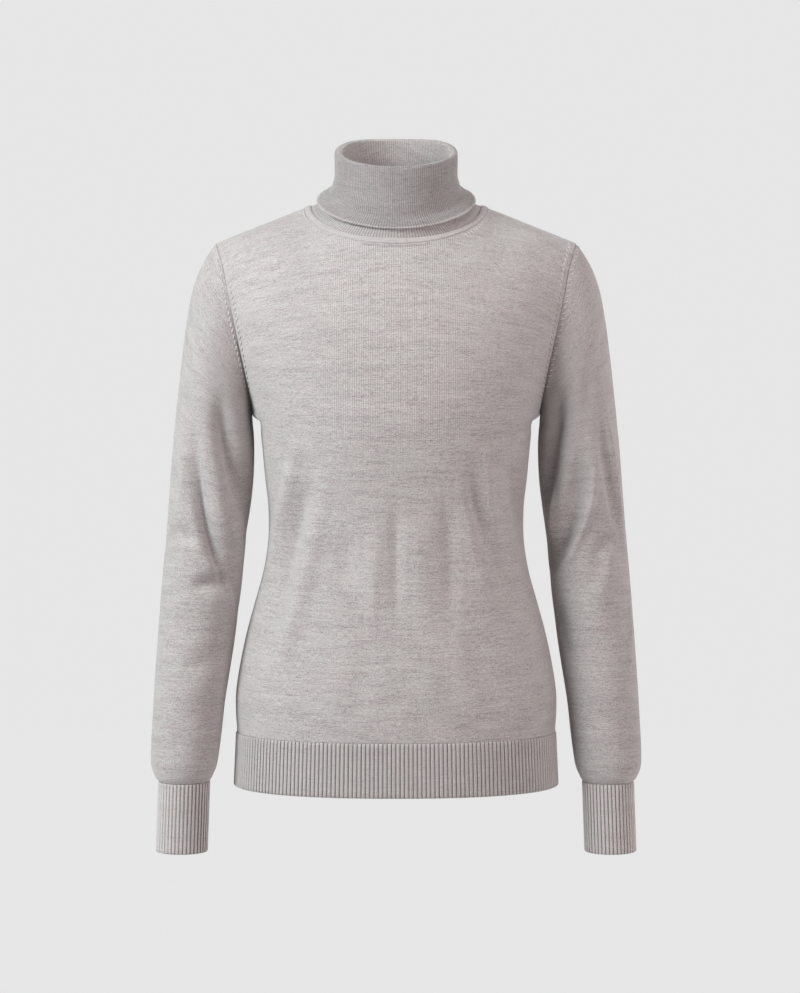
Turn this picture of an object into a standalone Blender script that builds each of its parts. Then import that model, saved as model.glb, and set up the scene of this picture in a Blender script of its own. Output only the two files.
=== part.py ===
# Turtleneck sweater, filled out as worn and hollow inside.
# Metres, +Z up, -Y is the front, X = 0 is the middle, and z = 0 is just above the shoulder points.
# Each piece is a wall of cloth: a grid of outer points, and a second grid one thickness behind it.
import bmesh
import bpy
import numpy as np

# ---------------------------------------------------------------- driving sizes
CLOTH = 0.0018              # wall of the plain knit
RIB_CLOTH = 0.0016          # wall of the ribbed bands, under the ribs
RIB_RISE = 0.0008           # a rib's height above its groove
COLLAR_CLOTH = 0.0022       # wall of the collar
COLLAR_RISE = 0.0005        # of the collar's own, finer ribs
SEAM_GAP = 0.0003
TRIM_THICKNESS = 0.0030
TRIM_SIDES = 6
BODY_POWER = 2.25           # squareness of the body's level sections, 2 is an ellipse

HEM_TOP = -0.5415
HEM_BOTTOM = -0.5970
HEM_RIBS = 104              # on the front, and again on the back
CUFF_RIBS = 42
COLLAR_RIBS = 180
UNDERARM_Z = -0.2110
UNDERARM_X = 0.1480
TIP_X = 0.1840              # the shoulder tip, where the sleeve is set in
NECK_X = 0.0940             # half the width of the neck opening
NECK_FRONT = 0.0715         # how far the neck opening reaches forward and back of the shoulder line
NECK_BACK = 0.0500
NECK_Z = -0.0040            # the shoulder line's height at the neck
SHOULDER_SLOPE = 0.41
SHOULDER_ROUND = 0.035      # softens the shoulder line's peak over the neck
BACK_NECK_RISE = 0.006
ARMHOLE_FRONT = 0.0500      # how far the armhole bows forward and back of the side seam
ARMHOLE_BACK = 0.0525
SLEEVE_RADIUS = 0.044       # turns an angle round a sleeve into metres for its folds
SLEEVE_ROUNDNESS = 0.96     # below 1, a sleeve's section is a little fuller than an oval
FOLD_FADE = (0.05, 0.03)    # the body's folds die away over these heights above the hem and at the underarm
FOLD_SIDE_FADE = 0.30       # and over this share of the half width beside the side seams
DEEPEST_FOLD = 0.3          # of a sleeve's radius
FOLD_ENDS = 0.25            # share of a fold's length over which it dies away at each end

FRONT_COLUMNS = 13          # from the middle to the side, of which the first few end at the neck
FRONT_NECK_COLUMNS = 8
BACK_COLUMNS = 11
BACK_NECK_COLUMNS = 6
ARMHOLE_ROWS = 10
HEM_PANELS = 26             # plain columns inside the ribs of one hem band
CUFF_PANELS = 21
COLLAR_COLUMNS = 45
CAP_RINGS = 5               # sleeve sections that still take after the armhole's shape
COLLAR_BACK_LEVEL = 0.35    # how much flatter the collar's sections run across the back than a plain oval
BODY_LEVELS = (HEM_TOP, -0.520, -0.494, -0.465, -0.434, -0.403, -0.372, -0.341,
               -0.310, -0.281, -0.256, -0.236, -0.2215, UNDERARM_Z)


def table(columns, *rows):
    """One array for each named column."""
    return {name: np.array([row[i] for row in rows]) for i, name in enumerate(columns.split())}


TORSO = table(
    "z       half    front   back",
    (-0.597, 0.1668, 0.1140, 0.1140),
    (-0.573, 0.1660, 0.1135, 0.1135),
    (-0.543, 0.1642, 0.1125, 0.1120),
    (-0.522, 0.1654, 0.1130, 0.1112),
    (-0.500, 0.1650, 0.1130, 0.1085),
    (-0.469, 0.1602, 0.1115, 0.1035),
    (-0.438, 0.1535, 0.1090, 0.0970),
    (-0.407, 0.1450, 0.1070, 0.0905),
    (-0.376, 0.1365, 0.1055, 0.0850),
    (-0.345, 0.1316, 0.1055, 0.0815),
    (-0.310, 0.1314, 0.1070, 0.0810),
    (-0.280, 0.1346, 0.1100, 0.0835),
    (-0.255, 0.1368, 0.1130, 0.0875),
    (-0.236, 0.1390, 0.1150, 0.0910),
    (-0.222, 0.1432, 0.1165, 0.0940),
    (-0.211, 0.1480, 0.1170, 0.0955),
    (-0.170, 0.1480, 0.1155, 0.1000),
    (-0.134, 0.1480, 0.1110, 0.1010),
    (-0.098, 0.1480, 0.1050, 0.0990),
    (-0.065, 0.1480, 0.0990, 0.0940),
    (-0.040, 0.1480, 0.0940, 0.0880),
    (0.0000, 0.1480, 0.0880, 0.0780),
    (0.0400, 0.1480, 0.0820, 0.0700))

ARMHOLE = table(
    "z       x",
    (-0.211, 0.1480),
    (-0.195, 0.1500),
    (-0.170, 0.1545),
    (-0.134, 0.1618),
    (-0.098, 0.1695),
    (-0.065, 0.1760),
    (-0.040, 0.1840))

# How the chest rounds over to the shoulder line: it starts to turn at level "start".
CAP = {
    "front": {"start": -0.190, "neck_turn": 3.64, "neck_slope": 1.15, "tip_turn": 2.2, "tip_slope": 2.2},
    "back": {"start": -0.125, "neck_turn": 5.00, "neck_slope": 1.30, "tip_turn": 2.4, "tip_slope": 2.4}}

SLEEVE = table(
    "outer_x outer_z  inner_x inner_z  front    back",
    (0.1840, -0.0400, 0.1480, -0.2110, -0.0500, 0.0525),
    (0.1905, -0.0480, 0.1483, -0.2155, -0.0515, 0.0535),
    (0.2000, -0.0640, 0.1480, -0.2210, -0.0530, 0.0545),
    (0.2080, -0.0850, 0.1474, -0.2275, -0.0540, 0.0550),
    (0.2138, -0.1130, 0.1466, -0.2350, -0.0545, 0.0550),
    (0.2182, -0.1440, 0.1461, -0.2440, -0.0542, 0.0545),
    (0.2222, -0.1780, 0.1460, -0.2560, -0.0535, 0.0535),
    (0.2262, -0.2150, 0.1464, -0.2720, -0.0525, 0.0525),
    (0.2300, -0.2530, 0.1478, -0.2920, -0.0515, 0.0515),
    (0.2330, -0.2920, 0.1505, -0.3150, -0.0505, 0.0508),
    (0.2360, -0.3300, 0.1540, -0.3400, -0.0495, 0.0500),
    (0.2390, -0.3620, 0.1568, -0.3650, -0.0490, 0.0490),
    (0.2415, -0.3900, 0.1592, -0.3900, -0.0492, 0.0475),
    (0.2438, -0.4200, 0.1630, -0.4200, -0.0500, 0.0445),
    (0.2460, -0.4500, 0.1668, -0.4500, -0.0512, 0.0400),
    (0.2480, -0.4800, 0.1715, -0.4800, -0.0525, 0.0350),
    (0.2498, -0.5100, 0.1762, -0.5100, -0.0538, 0.0300),
    (0.2513, -0.5380, 0.1792, -0.5380, -0.0548, 0.0250),
    (0.2522, -0.5590, 0.1818, -0.5590, -0.0556, 0.0208),
    (0.2518, -0.5755, 0.1845, -0.5755, -0.0556, 0.0168),
    (0.2478, -0.5865, 0.1890, -0.5865, -0.0530, 0.0113),
    (0.2440, -0.5915, 0.1918, -0.5915, -0.0505, 0.0083))

CUFF = table(
    "outer_x outer_z  inner_x inner_z  front    back",
    (0.2436, -0.5918, 0.1918, -0.5918, -0.0508, 0.0074),
    (0.2460, -0.6632, 0.1942, -0.6632, -0.0544, 0.0010))

# The middle of the collar's wall, from the neck seam up, over the fold and down to the free edge.
COLLAR = table(
    "side_x   side_z   front_y  front_z  back_y   back_z",
    (0.0865, -0.0028, -0.0665, -0.0350, 0.0450, 0.0085),
    (0.0784, 0.0002, -0.0662, -0.0280, 0.0452, 0.0170),
    (0.0712, 0.0062, -0.0638, -0.0190, 0.0455, 0.0270),
    (0.0628, 0.0150, -0.0606, -0.0080, 0.0452, 0.0380),
    (0.0580, 0.0300, -0.0566, 0.0100, 0.0448, 0.0500),
    (0.0562, 0.0502, -0.0551, 0.0329, 0.0451, 0.0649),
    (0.0571, 0.0523, -0.0559, 0.0350, 0.0459, 0.0670),
    (0.0592, 0.0532, -0.0580, 0.0359, 0.0480, 0.0679),
    (0.0613, 0.0523, -0.0601, 0.0350, 0.0501, 0.0670),
    (0.0620, 0.0502, -0.0609, 0.0329, 0.0509, 0.0649),
    (0.0622, 0.0285, -0.0622, 0.0080, 0.0506, 0.0420),
    (0.0662, 0.0150, -0.0646, -0.0110, 0.0508, 0.0295),
    (0.0728, 0.0088, -0.0673, -0.0195, 0.0514, 0.0235),
    (0.0800, 0.0022, -0.0696, -0.0262, 0.0524, 0.0190))
COLLAR_RIB_ROWS = (10, 11, 13)      # rows of the turned-down part that carry ribs
COLLAR_TOP = 9              # the last plain row above them
FOOT_SHARE = (1.0, 0.80, 0.50, 0.20)    # how closely the lowest rows follow the neck seam

# How far the collar's foot lies inside and above the neck seam, with the trim between.
FOOT = table(
    "angle   inside  above",
    (0.0, 0.0050, 0.0060),
    (90.0, 0.0075, 0.0018),
    (180.0, 0.0050, 0.0058))

# Folds run from a start through a middle to an end, and are troughs where the depth is above 0.
FRONT_FOLDS = table(
    "x0      z0      x1      z1      x2      z2      width   depth",
    (-0.102, -0.236, -0.110, -0.280, -0.123, -0.345, 0.0085, -0.0030),
    (-0.092, -0.250, -0.104, -0.300, -0.126, -0.372, 0.0085, 0.0056),
    (-0.083, -0.290, -0.103, -0.375, -0.138, -0.468, 0.0100, -0.0050),
    (-0.084, -0.355, -0.104, -0.420, -0.127, -0.482, 0.0095, 0.0034),
    (-0.006, -0.318, -0.008, -0.375, -0.011, -0.440, 0.0095, 0.0028),
    (0.0080, -0.298, 0.0120, -0.370, 0.0100, -0.425, 0.0105, -0.0024),
    (0.0440, -0.318, 0.0440, -0.381, 0.0460, -0.440, 0.0095, 0.0026),
    (0.0600, -0.305, 0.0690, -0.381, 0.0860, -0.420, 0.0115, -0.0026),
    (0.0770, -0.292, 0.1030, -0.381, 0.1490, -0.480, 0.0100, 0.0058),
    (0.1020, -0.238, 0.1070, -0.275, 0.1160, -0.330, 0.0070, 0.0038),
    (0.0920, -0.245, 0.1060, -0.310, 0.1290, -0.380, 0.0080, -0.0030))

BACK_FOLDS = table(
    "x0      z0      x1      z1      x2      z2      width   depth",
    (-0.098, -0.238, -0.105, -0.305, -0.122, -0.380, 0.0100, 0.0050),
    (-0.082, -0.270, -0.092, -0.350, -0.120, -0.445, 0.0120, -0.0044),
    (-0.055, -0.300, -0.060, -0.365, -0.085, -0.430, 0.0120, 0.0032),
    (-0.014, -0.285, -0.006, -0.350, -0.012, -0.420, 0.0120, 0.0030),
    (0.0230, -0.310, 0.0260, -0.370, 0.0200, -0.450, 0.0130, -0.0028),
    (0.0560, -0.290, 0.0600, -0.360, 0.0780, -0.430, 0.0110, 0.0034),
    (0.0880, -0.255, 0.0960, -0.340, 0.1240, -0.440, 0.0120, -0.0042),
    (0.1040, -0.232, 0.1120, -0.310, 0.1250, -0.390, 0.0090, 0.0052))

# On a sleeve, a is the angle round it in degrees: 0 is the front, 90 the outer side, -90 the inner side.
RIGHT_SLEEVE_FOLDS = table(
    "a0     z0      a1      z1      a2      z2      width   depth",
    (-16.0, -0.172, -46.0, -0.250, -84.0, -0.345, 0.0110, 0.0060),
    (11.00, -0.271, -14.0, -0.330, -68.0, -0.393, 0.0085, 0.0070),
    (30.00, -0.285, 10.00, -0.350, -40.0, -0.415, 0.0095, -0.0038),
    (6.000, -0.358, 26.00, -0.346, 62.00, -0.348, 0.0075, 0.0042),
    (150.0, -0.200, 158.0, -0.280, 178.0, -0.360, 0.0120, 0.0050),
    (120.0, -0.330, 160.0, -0.365, 215.0, -0.400, 0.0090, 0.0058),
    (130.0, -0.440, 165.0, -0.462, 205.0, -0.480, 0.0100, 0.0036),
    (-66.0, -0.400, -60.0, -0.435, -52.0, -0.475, 0.0100, 0.0036))

LEFT_SLEEVE_FOLDS = table(
    "a0     z0      a1      z1      a2      z2      width   depth",
    (-4.00, -0.200, -27.0, -0.255, -64.0, -0.303, 0.0095, 0.0060),
    (22.00, -0.237, 4.000, -0.318, -66.0, -0.390, 0.0085, 0.0070),
    (46.00, -0.225, 42.00, -0.275, 42.00, -0.325, 0.0090, -0.0026),
    (66.00, -0.346, 38.00, -0.336, 8.000, -0.346, 0.0075, 0.0042),
    (8.000, -0.390, -16.0, -0.385, -46.0, -0.386, 0.0070, 0.0042),
    (148.0, -0.190, 160.0, -0.270, 182.0, -0.350, 0.0120, 0.0050),
    (115.0, -0.345, 155.0, -0.370, 210.0, -0.395, 0.0090, 0.0058),
    (-60.0, -0.455, -20.0, -0.470, 25.00, -0.476, 0.0110, 0.0026))


# ---------------------------------------------------------------- small helpers
def smooth(low, high, value):
    t = np.clip((value - low) / (high - low), 0.0, 1.0)
    return t * t * (3.0 - 2.0 * t)


def blend(first, last, share):
    return first + (last - first) * share


def unit(vector):
    return vector / np.maximum(np.linalg.norm(vector, axis=-1, keepdims=True), 1e-12)


def slopes(keys, values):
    """End-to-end slopes through each row of a table, for a smooth curve."""
    inner = (values[2:] - values[:-2]) / (keys[2:] - keys[:-2])
    first = (values[1] - values[0]) / (keys[1] - keys[0])
    last = (values[-1] - values[-2]) / (keys[-1] - keys[-2])
    return np.concatenate([[first], inner, [last]])


def read(rows, column, key, at):
    """A table's column at any place between its rows, on a smooth curve through them."""
    keys = rows[key] if isinstance(key, str) else key
    values = rows[column]
    at = np.clip(at, keys[0], keys[-1])
    i = int(np.clip(np.searchsorted(keys, at) - 1, 0, len(keys) - 2))
    step = keys[i + 1] - keys[i]
    t = (at - keys[i]) / step
    grade = slopes(keys, values)
    return ((2 * t**3 - 3 * t**2 + 1) * values[i] + (t**3 - 2 * t**2 + t) * step * grade[i]
            + (3 * t**2 - 2 * t**3) * values[i + 1] + (t**3 - t**2) * step * grade[i + 1])


def normals(grid, wrap):
    """Outward normals of a grid whose columns run to the right and rows run up, seen from outside."""
    if wrap:
        across = np.roll(grid, -1, axis=1) - np.roll(grid, 1, axis=1)
    else:
        across = np.gradient(grid, axis=1)
    along = np.gradient(grid, axis=0)
    return unit(np.cross(across, along))


def fold_relief(folds, start, across, along, fade):
    """How far each point is moved by the folds. across and along are in metres, as in the table."""
    depth = np.zeros(across.shape)
    for i in range(len(folds["depth"])):
        first, middle, last = (np.array([folds[start + k][i], folds["z" + k][i]]) for k in "012")
        pull = 2 * middle - (first + last) / 2
        nearest = np.full(across.shape, np.inf)
        place = np.zeros(across.shape)
        for s in np.linspace(0.0, 1.0, 25):
            bend = (1 - s)**2 * first + 2 * s * (1 - s) * pull + s**2 * last
            away = (across - bend[0])**2 + (along - bend[1])**2
            place = np.where(away < nearest, s, place)
            nearest = np.minimum(away, nearest)
        ends_fade = smooth(0.0, FOLD_ENDS, place) * smooth(0.0, FOLD_ENDS, 1.0 - place)
        depth += folds["depth"][i] * np.exp(-nearest / (2 * folds["width"][i]**2)) * (0.25 + 0.75 * ends_fade)
    return depth * fade


def behind(grid, thickness, wrap, keep_off=None):
    """The inner side of a wall. keep_off holds, where it isn't zero, the way to a neighbour."""
    inward = -normals(grid, wrap)
    if keep_off is not None:
        toward = np.maximum((inward * keep_off).sum(axis=-1, keepdims=True), 0.0)
        inward = unit(inward - toward * keep_off)
    return grid + inward * thickness


def quads(first, second, wrap):
    """Faces between two equal rows of vertices."""
    count = len(first)
    for i in range(count if wrap else count - 1):
        j = (i + 1) % count
        yield first[i], first[j], second[j], second[i]


def material(name, colour, roughness):
    shade = bpy.data.materials.new(name)
    shade.use_nodes = True
    shader = shade.node_tree.nodes["Principled BSDF"]
    shader.inputs["Base Color"].default_value = (*colour, 1.0)
    shader.inputs["Roughness"].default_value = roughness
    shader.inputs["Metallic"].default_value = 0.0
    return shade


def make_object(name, shape, shade):
    bmesh.ops.recalc_face_normals(shape, faces=shape.faces)
    if shape.calc_volume(signed=True) < 0.0:
        bmesh.ops.reverse_faces(shape, faces=shape.faces)
    mesh = bpy.data.meshes.new(name)
    shape.to_mesh(mesh)
    shape.free()
    mesh.shade_smooth()
    mesh.set_sharp_from_angle(angle=np.radians(50.0))
    mesh.materials.append(shade)
    piece = bpy.data.objects.new(name, mesh)
    bpy.context.scene.collection.objects.link(piece)
    return piece


def wall(name, outer, inner, wrap, shade):
    """A closed wall of cloth between two equal grids of points."""
    shape = bmesh.new()
    front = [[shape.verts.new(point) for point in row] for row in outer]
    back = [[shape.verts.new(point) for point in row] for row in inner]
    for lower, upper in zip(front[:-1], front[1:]):
        for face in quads(lower, upper, wrap):
            shape.faces.new(face)
    for lower, upper in zip(back[:-1], back[1:]):
        for face in quads(upper, lower, wrap):
            shape.faces.new(face)
    for face in quads(back[0], front[0], wrap):
        shape.faces.new(face)
    for face in quads(front[-1], back[-1], wrap):
        shape.faces.new(face)
    if not wrap:
        for column in (0, -1):
            for r in range(len(front) - 1):
                shape.faces.new((front[r][column], front[r + 1][column],
                                 back[r + 1][column], back[r][column]))
    return make_object(name, shape, shade)


# ---------------------------------------------------------------- the body's form
def shoulder_height(x, side):
    """The height of the shoulder line, and of the form's crest where the neck opening cuts it."""
    peak = np.hypot(x, SHOULDER_ROUND) - np.hypot(NECK_X, SHOULDER_ROUND)
    height = NECK_Z - SHOULDER_SLOPE * peak
    if side == "back" and abs(x) < NECK_X:
        height += BACK_NECK_RISE * (1.0 - (x / NECK_X)**2)**2
    return height


def cap(x, z, side):
    """1 on the upright part of the chest or back, falling to 0 on the shoulder line."""
    turn = CAP[side]
    share = smooth(NECK_X, 0.160, abs(x))
    power = blend(turn["neck_turn"], turn["tip_turn"], share)
    slope = blend(turn["neck_slope"], turn["tip_slope"], share)
    rise = np.clip((z - turn["start"]) / (shoulder_height(x, side) - turn["start"]), 0.0, 1.0)
    return (1.0 - rise**power)**(1.0 / slope)


def armhole_depth(z, side):
    middle = (UNDERARM_Z + ARMHOLE["z"][-1]) / 2
    half = (ARMHOLE["z"][-1] - UNDERARM_Z) / 2
    bow = ARMHOLE_FRONT if side == "front" else ARMHOLE_BACK
    return bow * np.sqrt(max(0.0, 1.0 - ((z - middle) / half)**2))


def half_width(z, side):
    """The level section's half width. Above the underarm it is where the section would end inside the arm."""
    if z <= UNDERARM_Z:
        return read(TORSO, "half", "z", z)
    z = min(z, ARMHOLE["z"][-1] - 0.005)
    x = read(ARMHOLE, "x", "z", z)
    share = armhole_depth(z, side) / (read(TORSO, side, "z", z) * cap(x, z, side))
    return x * (1.0 - share**BODY_POWER)**(-1.0 / BODY_POWER)


def body_depth(x, z, side):
    """How far the form stands forward or back of the shoulder line at x and z."""
    share = min(abs(x) / half_width(z, side), 1.0)
    level = (1.0 - share**BODY_POWER)**(1.0 / BODY_POWER)
    return read(TORSO, side, "z", z) * level * cap(x, z, side)


def height_on_form(x, depth, side):
    """The height at which the form stands out by this depth."""
    low, high = -0.150, shoulder_height(x, side)
    for _ in range(40):
        middle = (low + high) / 2
        if body_depth(x, middle, side) > depth:
            low = middle
        else:
            high = middle
    return (low + high) / 2


def panel_tops(columns, neck_columns, side):
    """Where each column ends: on the neck opening, then along the shoulder seam."""
    reach = NECK_FRONT if side == "front" else NECK_BACK
    tops = []
    for c in range(columns + 1):
        if c < neck_columns:
            angle = np.pi / 2 * c / neck_columns
            x = NECK_X * np.sin(angle)
            tops.append((x, height_on_form(x, reach * np.cos(angle), side)))
        else:
            x = blend(NECK_X, TIP_X, (c - neck_columns) / (columns - neck_columns))
            tops.append((x, shoulder_height(x, side)))
    return tops


def armhole_levels():
    """Row heights up the armhole, as shares, close together where it turns."""
    return [(1.0 + np.sin(angle)) / 2 for angle in np.linspace(-np.pi / 2, np.pi / 2, ARMHOLE_ROWS + 1)]


def half_panel(columns, neck_columns, side):
    """The panel's points from its middle to its side, bottom row first."""
    sign = -1.0 if side == "front" else 1.0
    spread = [np.sin(np.pi / 2 * c / columns) for c in range(columns + 1)]
    tops = panel_tops(columns, neck_columns, side)
    rows = []
    for level in BODY_LEVELS:
        half = half_width(level, side)
        row = [(half * share, sign * body_depth(half * share, level, side), level) for share in spread]
        row[-1] = (half, 0.0, level)
        rows.append(row)
    top_z = ARMHOLE["z"][-1]
    for share in armhole_levels()[1:]:
        arm_z = blend(UNDERARM_Z, top_z, share)
        outward = (read(ARMHOLE, "x", "z", arm_z) - UNDERARM_X) / (TIP_X - UNDERARM_X)
        row = []
        for c in range(columns + 1):
            x = blend(UNDERARM_X * spread[c], tops[c][0], outward)
            z = blend(UNDERARM_Z, tops[c][1], share)
            row.append((x, sign * body_depth(x, z, side), z))
        if share == 1.0:
            row = [(x, 0.0 if c >= neck_columns else y, z) for c, (x, y, z) in enumerate(row)]
        rows.append(row)
    return np.array(rows)


def armhole_normal():
    """The way the armhole faces, out of the body."""
    chord = np.array([TIP_X - UNDERARM_X, 0.0, ARMHOLE["z"][-1] - UNDERARM_Z])
    return unit(np.array([chord[2], 0.0, -chord[0]]))


def mirrored(points):
    return points * np.array([-1.0, 1.0, 1.0])


def panel(side, columns, neck_columns, folds):
    """Outer and inner points of the front or the back, with its folds."""
    half = half_panel(columns, neck_columns, side)
    if side == "front":
        grid = np.concatenate([mirrored(half[:, :0:-1]), half], axis=1)
        toward_seam = np.array([0.0, 1.0, 0.0])
    else:
        grid = np.concatenate([half[:, :0:-1], mirrored(half)], axis=1)
        toward_seam = np.array([0.0, -1.0, 0.0])
    from_side = smooth(0.0, FOLD_SIDE_FADE, 1.0 - np.abs(np.linspace(-1.0, 1.0, grid.shape[1])))
    height = grid[..., 2]
    over_hem, under_arm = FOLD_FADE
    from_ends = (smooth(HEM_TOP, HEM_TOP + over_hem, height)
                 * smooth(-under_arm, under_arm, UNDERARM_Z - height))
    relief = fold_relief(folds, "x", grid[..., 0], height, from_side * from_ends)
    grid = grid - normals(grid, False) * relief[..., None]
    keep_off = np.zeros(grid.shape)
    keep_off[:, 0] = toward_seam
    keep_off[:, -1] = toward_seam
    armhole_start = len(BODY_LEVELS)
    sign = np.sign(grid[-1, -1, 0])
    keep_off[armhole_start:, -1] = armhole_normal() * np.array([sign, 1.0, 1.0])
    keep_off[armhole_start:, 0] = armhole_normal() * np.array([-sign, 1.0, 1.0])
    shoulder = list(range(columns - neck_columns + 1))
    keep_off[-1, shoulder] = toward_seam
    keep_off[-1, [-1 - c for c in shoulder]] = toward_seam
    keep_off[0] = np.array([0.0, 0.0, -1.0])
    grid = grid - toward_seam * SEAM_GAP / 2
    return grid, behind(grid, CLOTH, False, keep_off)


def make_body(shade):
    front, front_inner = panel("front", FRONT_COLUMNS, FRONT_NECK_COLUMNS, FRONT_FOLDS)
    back, back_inner = panel("back", BACK_COLUMNS, BACK_NECK_COLUMNS, BACK_FOLDS)
    wall("body_front", front, front_inner, False, shade)
    wall("body_back", back, back_inner, False, shade)
    return front, back


# ---------------------------------------------------------------- ribbed bands
def even_half_ring(half, depth, count):
    """Equal steps along a half section, from one side over the middle to the other side."""
    angles = np.linspace(-np.pi / 2, np.pi / 2, 721)
    x = half * np.sin(angles)
    y = depth * (1.0 - np.abs(np.sin(angles))**BODY_POWER)**(1.0 / BODY_POWER)
    length = np.concatenate([[0.0], np.cumsum(np.hypot(np.diff(x), np.diff(y)))])
    at = np.linspace(0.0, length[-1], count + 1)
    return np.interp(at, length, x), np.interp(at, length, y)


def raise_ribs(grid, rise, wrap):
    """Moves every other column out, so that the wall steps from rib to groove."""
    ridge = np.zeros(grid.shape[:2])
    ridge[:, 1::2] = rise
    return grid + normals(grid, wrap) * ridge[..., None]


def fans(fine, coarse, wrap):
    """Triangles between a row of many vertices and a row of few, with the same ends."""
    spans = len(coarse) if wrap else len(coarse) - 1
    ratio = len(fine) // spans
    for i in range(spans):
        here, there = coarse[i], coarse[(i + 1) % len(coarse)]
        for k in range(ratio):
            first, second = fine[i * ratio + k], fine[(i * ratio + k + 1) % len(fine)]
            yield first, second, (here if k < ratio // 2 else there)
            if k == ratio // 2:
                yield first, there, here


def ribbed_wall(name, outer, inner, wrap, shade):
    """A closed wall with many ribbed points outside and few plain ones inside."""
    shape = bmesh.new()
    front = [[shape.verts.new(point) for point in row] for row in outer]
    back = [[shape.verts.new(point) for point in row] for row in inner]
    for rows in (front, back):
        for lower, upper in zip(rows[:-1], rows[1:]):
            for face in quads(lower, upper, wrap):
                shape.faces.new(face)
    for row in (0, -1):
        for face in fans(front[row], back[row], wrap):
            shape.faces.new(face)
    if not wrap:
        for column in (0, -1):
            shape.faces.new((front[0][column], front[-1][column], back[-1][column], back[0][column]))
    return make_object(name, shape, shade)


def make_hem(side, shade):
    sign = -1.0 if side == "front" else 1.0
    rows = []
    for level in (HEM_BOTTOM, HEM_TOP - SEAM_GAP):
        half = read(TORSO, "half", "z", level)
        x, y = even_half_ring(half, read(TORSO, side, "z", level), 2 * HEM_RIBS)
        rows.append(np.stack([x, sign * (y + SEAM_GAP / 2), np.full(x.shape, level)], axis=-1))
    grid = np.array(rows)
    if side == "back":
        grid = grid[:, ::-1]
    keep_off = np.zeros(grid.shape)
    keep_off[:, 0] = keep_off[:, -1] = np.array([0.0, -sign, 0.0])
    inner = behind(grid, RIB_CLOTH, False, keep_off)[:, ::2 * HEM_RIBS // HEM_PANELS]
    ribbed_wall("hem_" + side, raise_ribs(grid, RIB_RISE, False), inner, False, shade)


# ---------------------------------------------------------------- sleeves and cuffs
def sleeve_ring(rows, i, angles):
    """A level or slanted section: angle 0 is its front, 90 degrees its outer edge."""
    outer = np.array([rows["outer_x"][i], 0.0, rows["outer_z"][i]])
    inner = np.array([rows["inner_x"][i], 0.0, rows["inner_z"][i]])
    middle = (outer + inner) / 2
    across = (outer - inner) / 2
    front, back = rows["front"][i], rows["back"][i]
    ring = []
    for angle in angles:
        level = np.sign(np.cos(angle)) * abs(np.cos(angle))**SLEEVE_ROUNDNESS
        forward = (front + back) / 2 + level * (front - back) / 2
        ring.append(middle + across * np.sin(angle) + np.array([0.0, forward, 0.0]))
    return np.array(ring)


def armhole_loop(front, back):
    """The armhole's edge on the +X side: from the underarm up the front, over the tip, down the back."""
    first = len(BODY_LEVELS) - 1
    up_front = front[first:, -1]
    down_back = back[first:, 0][::-1]
    return np.concatenate([up_front, down_back[1:-1]])


def make_sleeve(name, loop, folds, sign, shade):
    turn = np.linspace(-np.pi / 2, 3 * np.pi / 2, 2 * ARMHOLE_ROWS + 1)[:-1]
    rings = [sleeve_ring(SLEEVE, i, turn) for i in range(len(SLEEVE["front"]))]
    cap_shape = loop - rings[0]
    count = len(rings)
    for i in range(count):
        rings[i] = rings[i] + cap_shape * (1.0 - smooth(0, CAP_RINGS, i))
    grid = np.array(rings)
    grid = grid[::-1]
    angle = np.broadcast_to(np.degrees(turn), grid.shape[:2])
    middle = grid.mean(axis=1, keepdims=True)
    radius = np.linalg.norm(grid - middle, axis=-1)
    fade = smooth(0.0, 3.0, np.arange(count)) * smooth(0.0, 4.0, np.arange(count)[::-1])
    relief = np.zeros(grid.shape[:2])
    in_metres = dict(folds)
    for k in range(3):
        in_metres["x" + str(k)] = np.radians(folds["a" + str(k)]) * SLEEVE_RADIUS
    for lap in (-360.0, 0.0, 360.0):
        around = np.radians(angle + lap) * SLEEVE_RADIUS
        relief += fold_relief(in_metres, "x", around, grid[..., 2], fade[:, None])
    relief = np.minimum(relief, radius * DEEPEST_FOLD)
    grid = grid - normals(grid, True) * relief[..., None]
    toward_body = -armhole_normal()
    grid[-1] = loop - toward_body * SEAM_GAP
    keep_off = np.zeros(grid.shape)
    keep_off[-1] = toward_body
    keep_off[0] = np.array([0.0, 0.0, -1.0])
    inner = behind(grid, CLOTH, True, keep_off)
    if sign < 0:
        grid, inner = mirrored(grid), mirrored(inner)
    wall(name, grid, inner, True, shade)


def make_cuff(name, sign, shade):
    turn = np.linspace(-np.pi / 2, 3 * np.pi / 2, 2 * CUFF_RIBS + 1)[:-1]
    grid = np.array([sleeve_ring(CUFF, i, turn) for i in range(len(CUFF["front"]))])[::-1]
    inner = behind(grid, RIB_CLOTH, True)[:, ::2 * CUFF_RIBS // CUFF_PANELS]
    outer = raise_ribs(grid, RIB_RISE, True)
    if sign < 0:
        outer, inner = mirrored(outer), mirrored(inner)
    ribbed_wall(name, outer, inner, True, shade)


# ---------------------------------------------------------------- collar and neck trim
def neck_seam_point(angle):
    """The neck seam's place at an angle from centre front towards +X."""
    side = "front" if np.cos(angle) >= 0 else "back"
    reach = NECK_FRONT if side == "front" else NECK_BACK
    x, depth = NECK_X * np.sin(angle), reach * abs(np.cos(angle))
    return np.array([x, -depth if side == "front" else depth, height_on_form(x, depth, side)])


def collar_foot_point(angle):
    """The lowest point of the collar's wall, which follows the neck seam inside and above it."""
    turned = 180.0 - abs(np.degrees(angle) - 180.0)
    inside = read(FOOT, "inside", "angle", turned)
    above = read(FOOT, "above", "angle", turned)
    inward = -unit(np.array([np.sin(angle) / NECK_X, -np.cos(angle) / NECK_FRONT, 0.0]))
    return neck_seam_point(angle) + inward * inside + np.array([0.0, 0.0, above])


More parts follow.
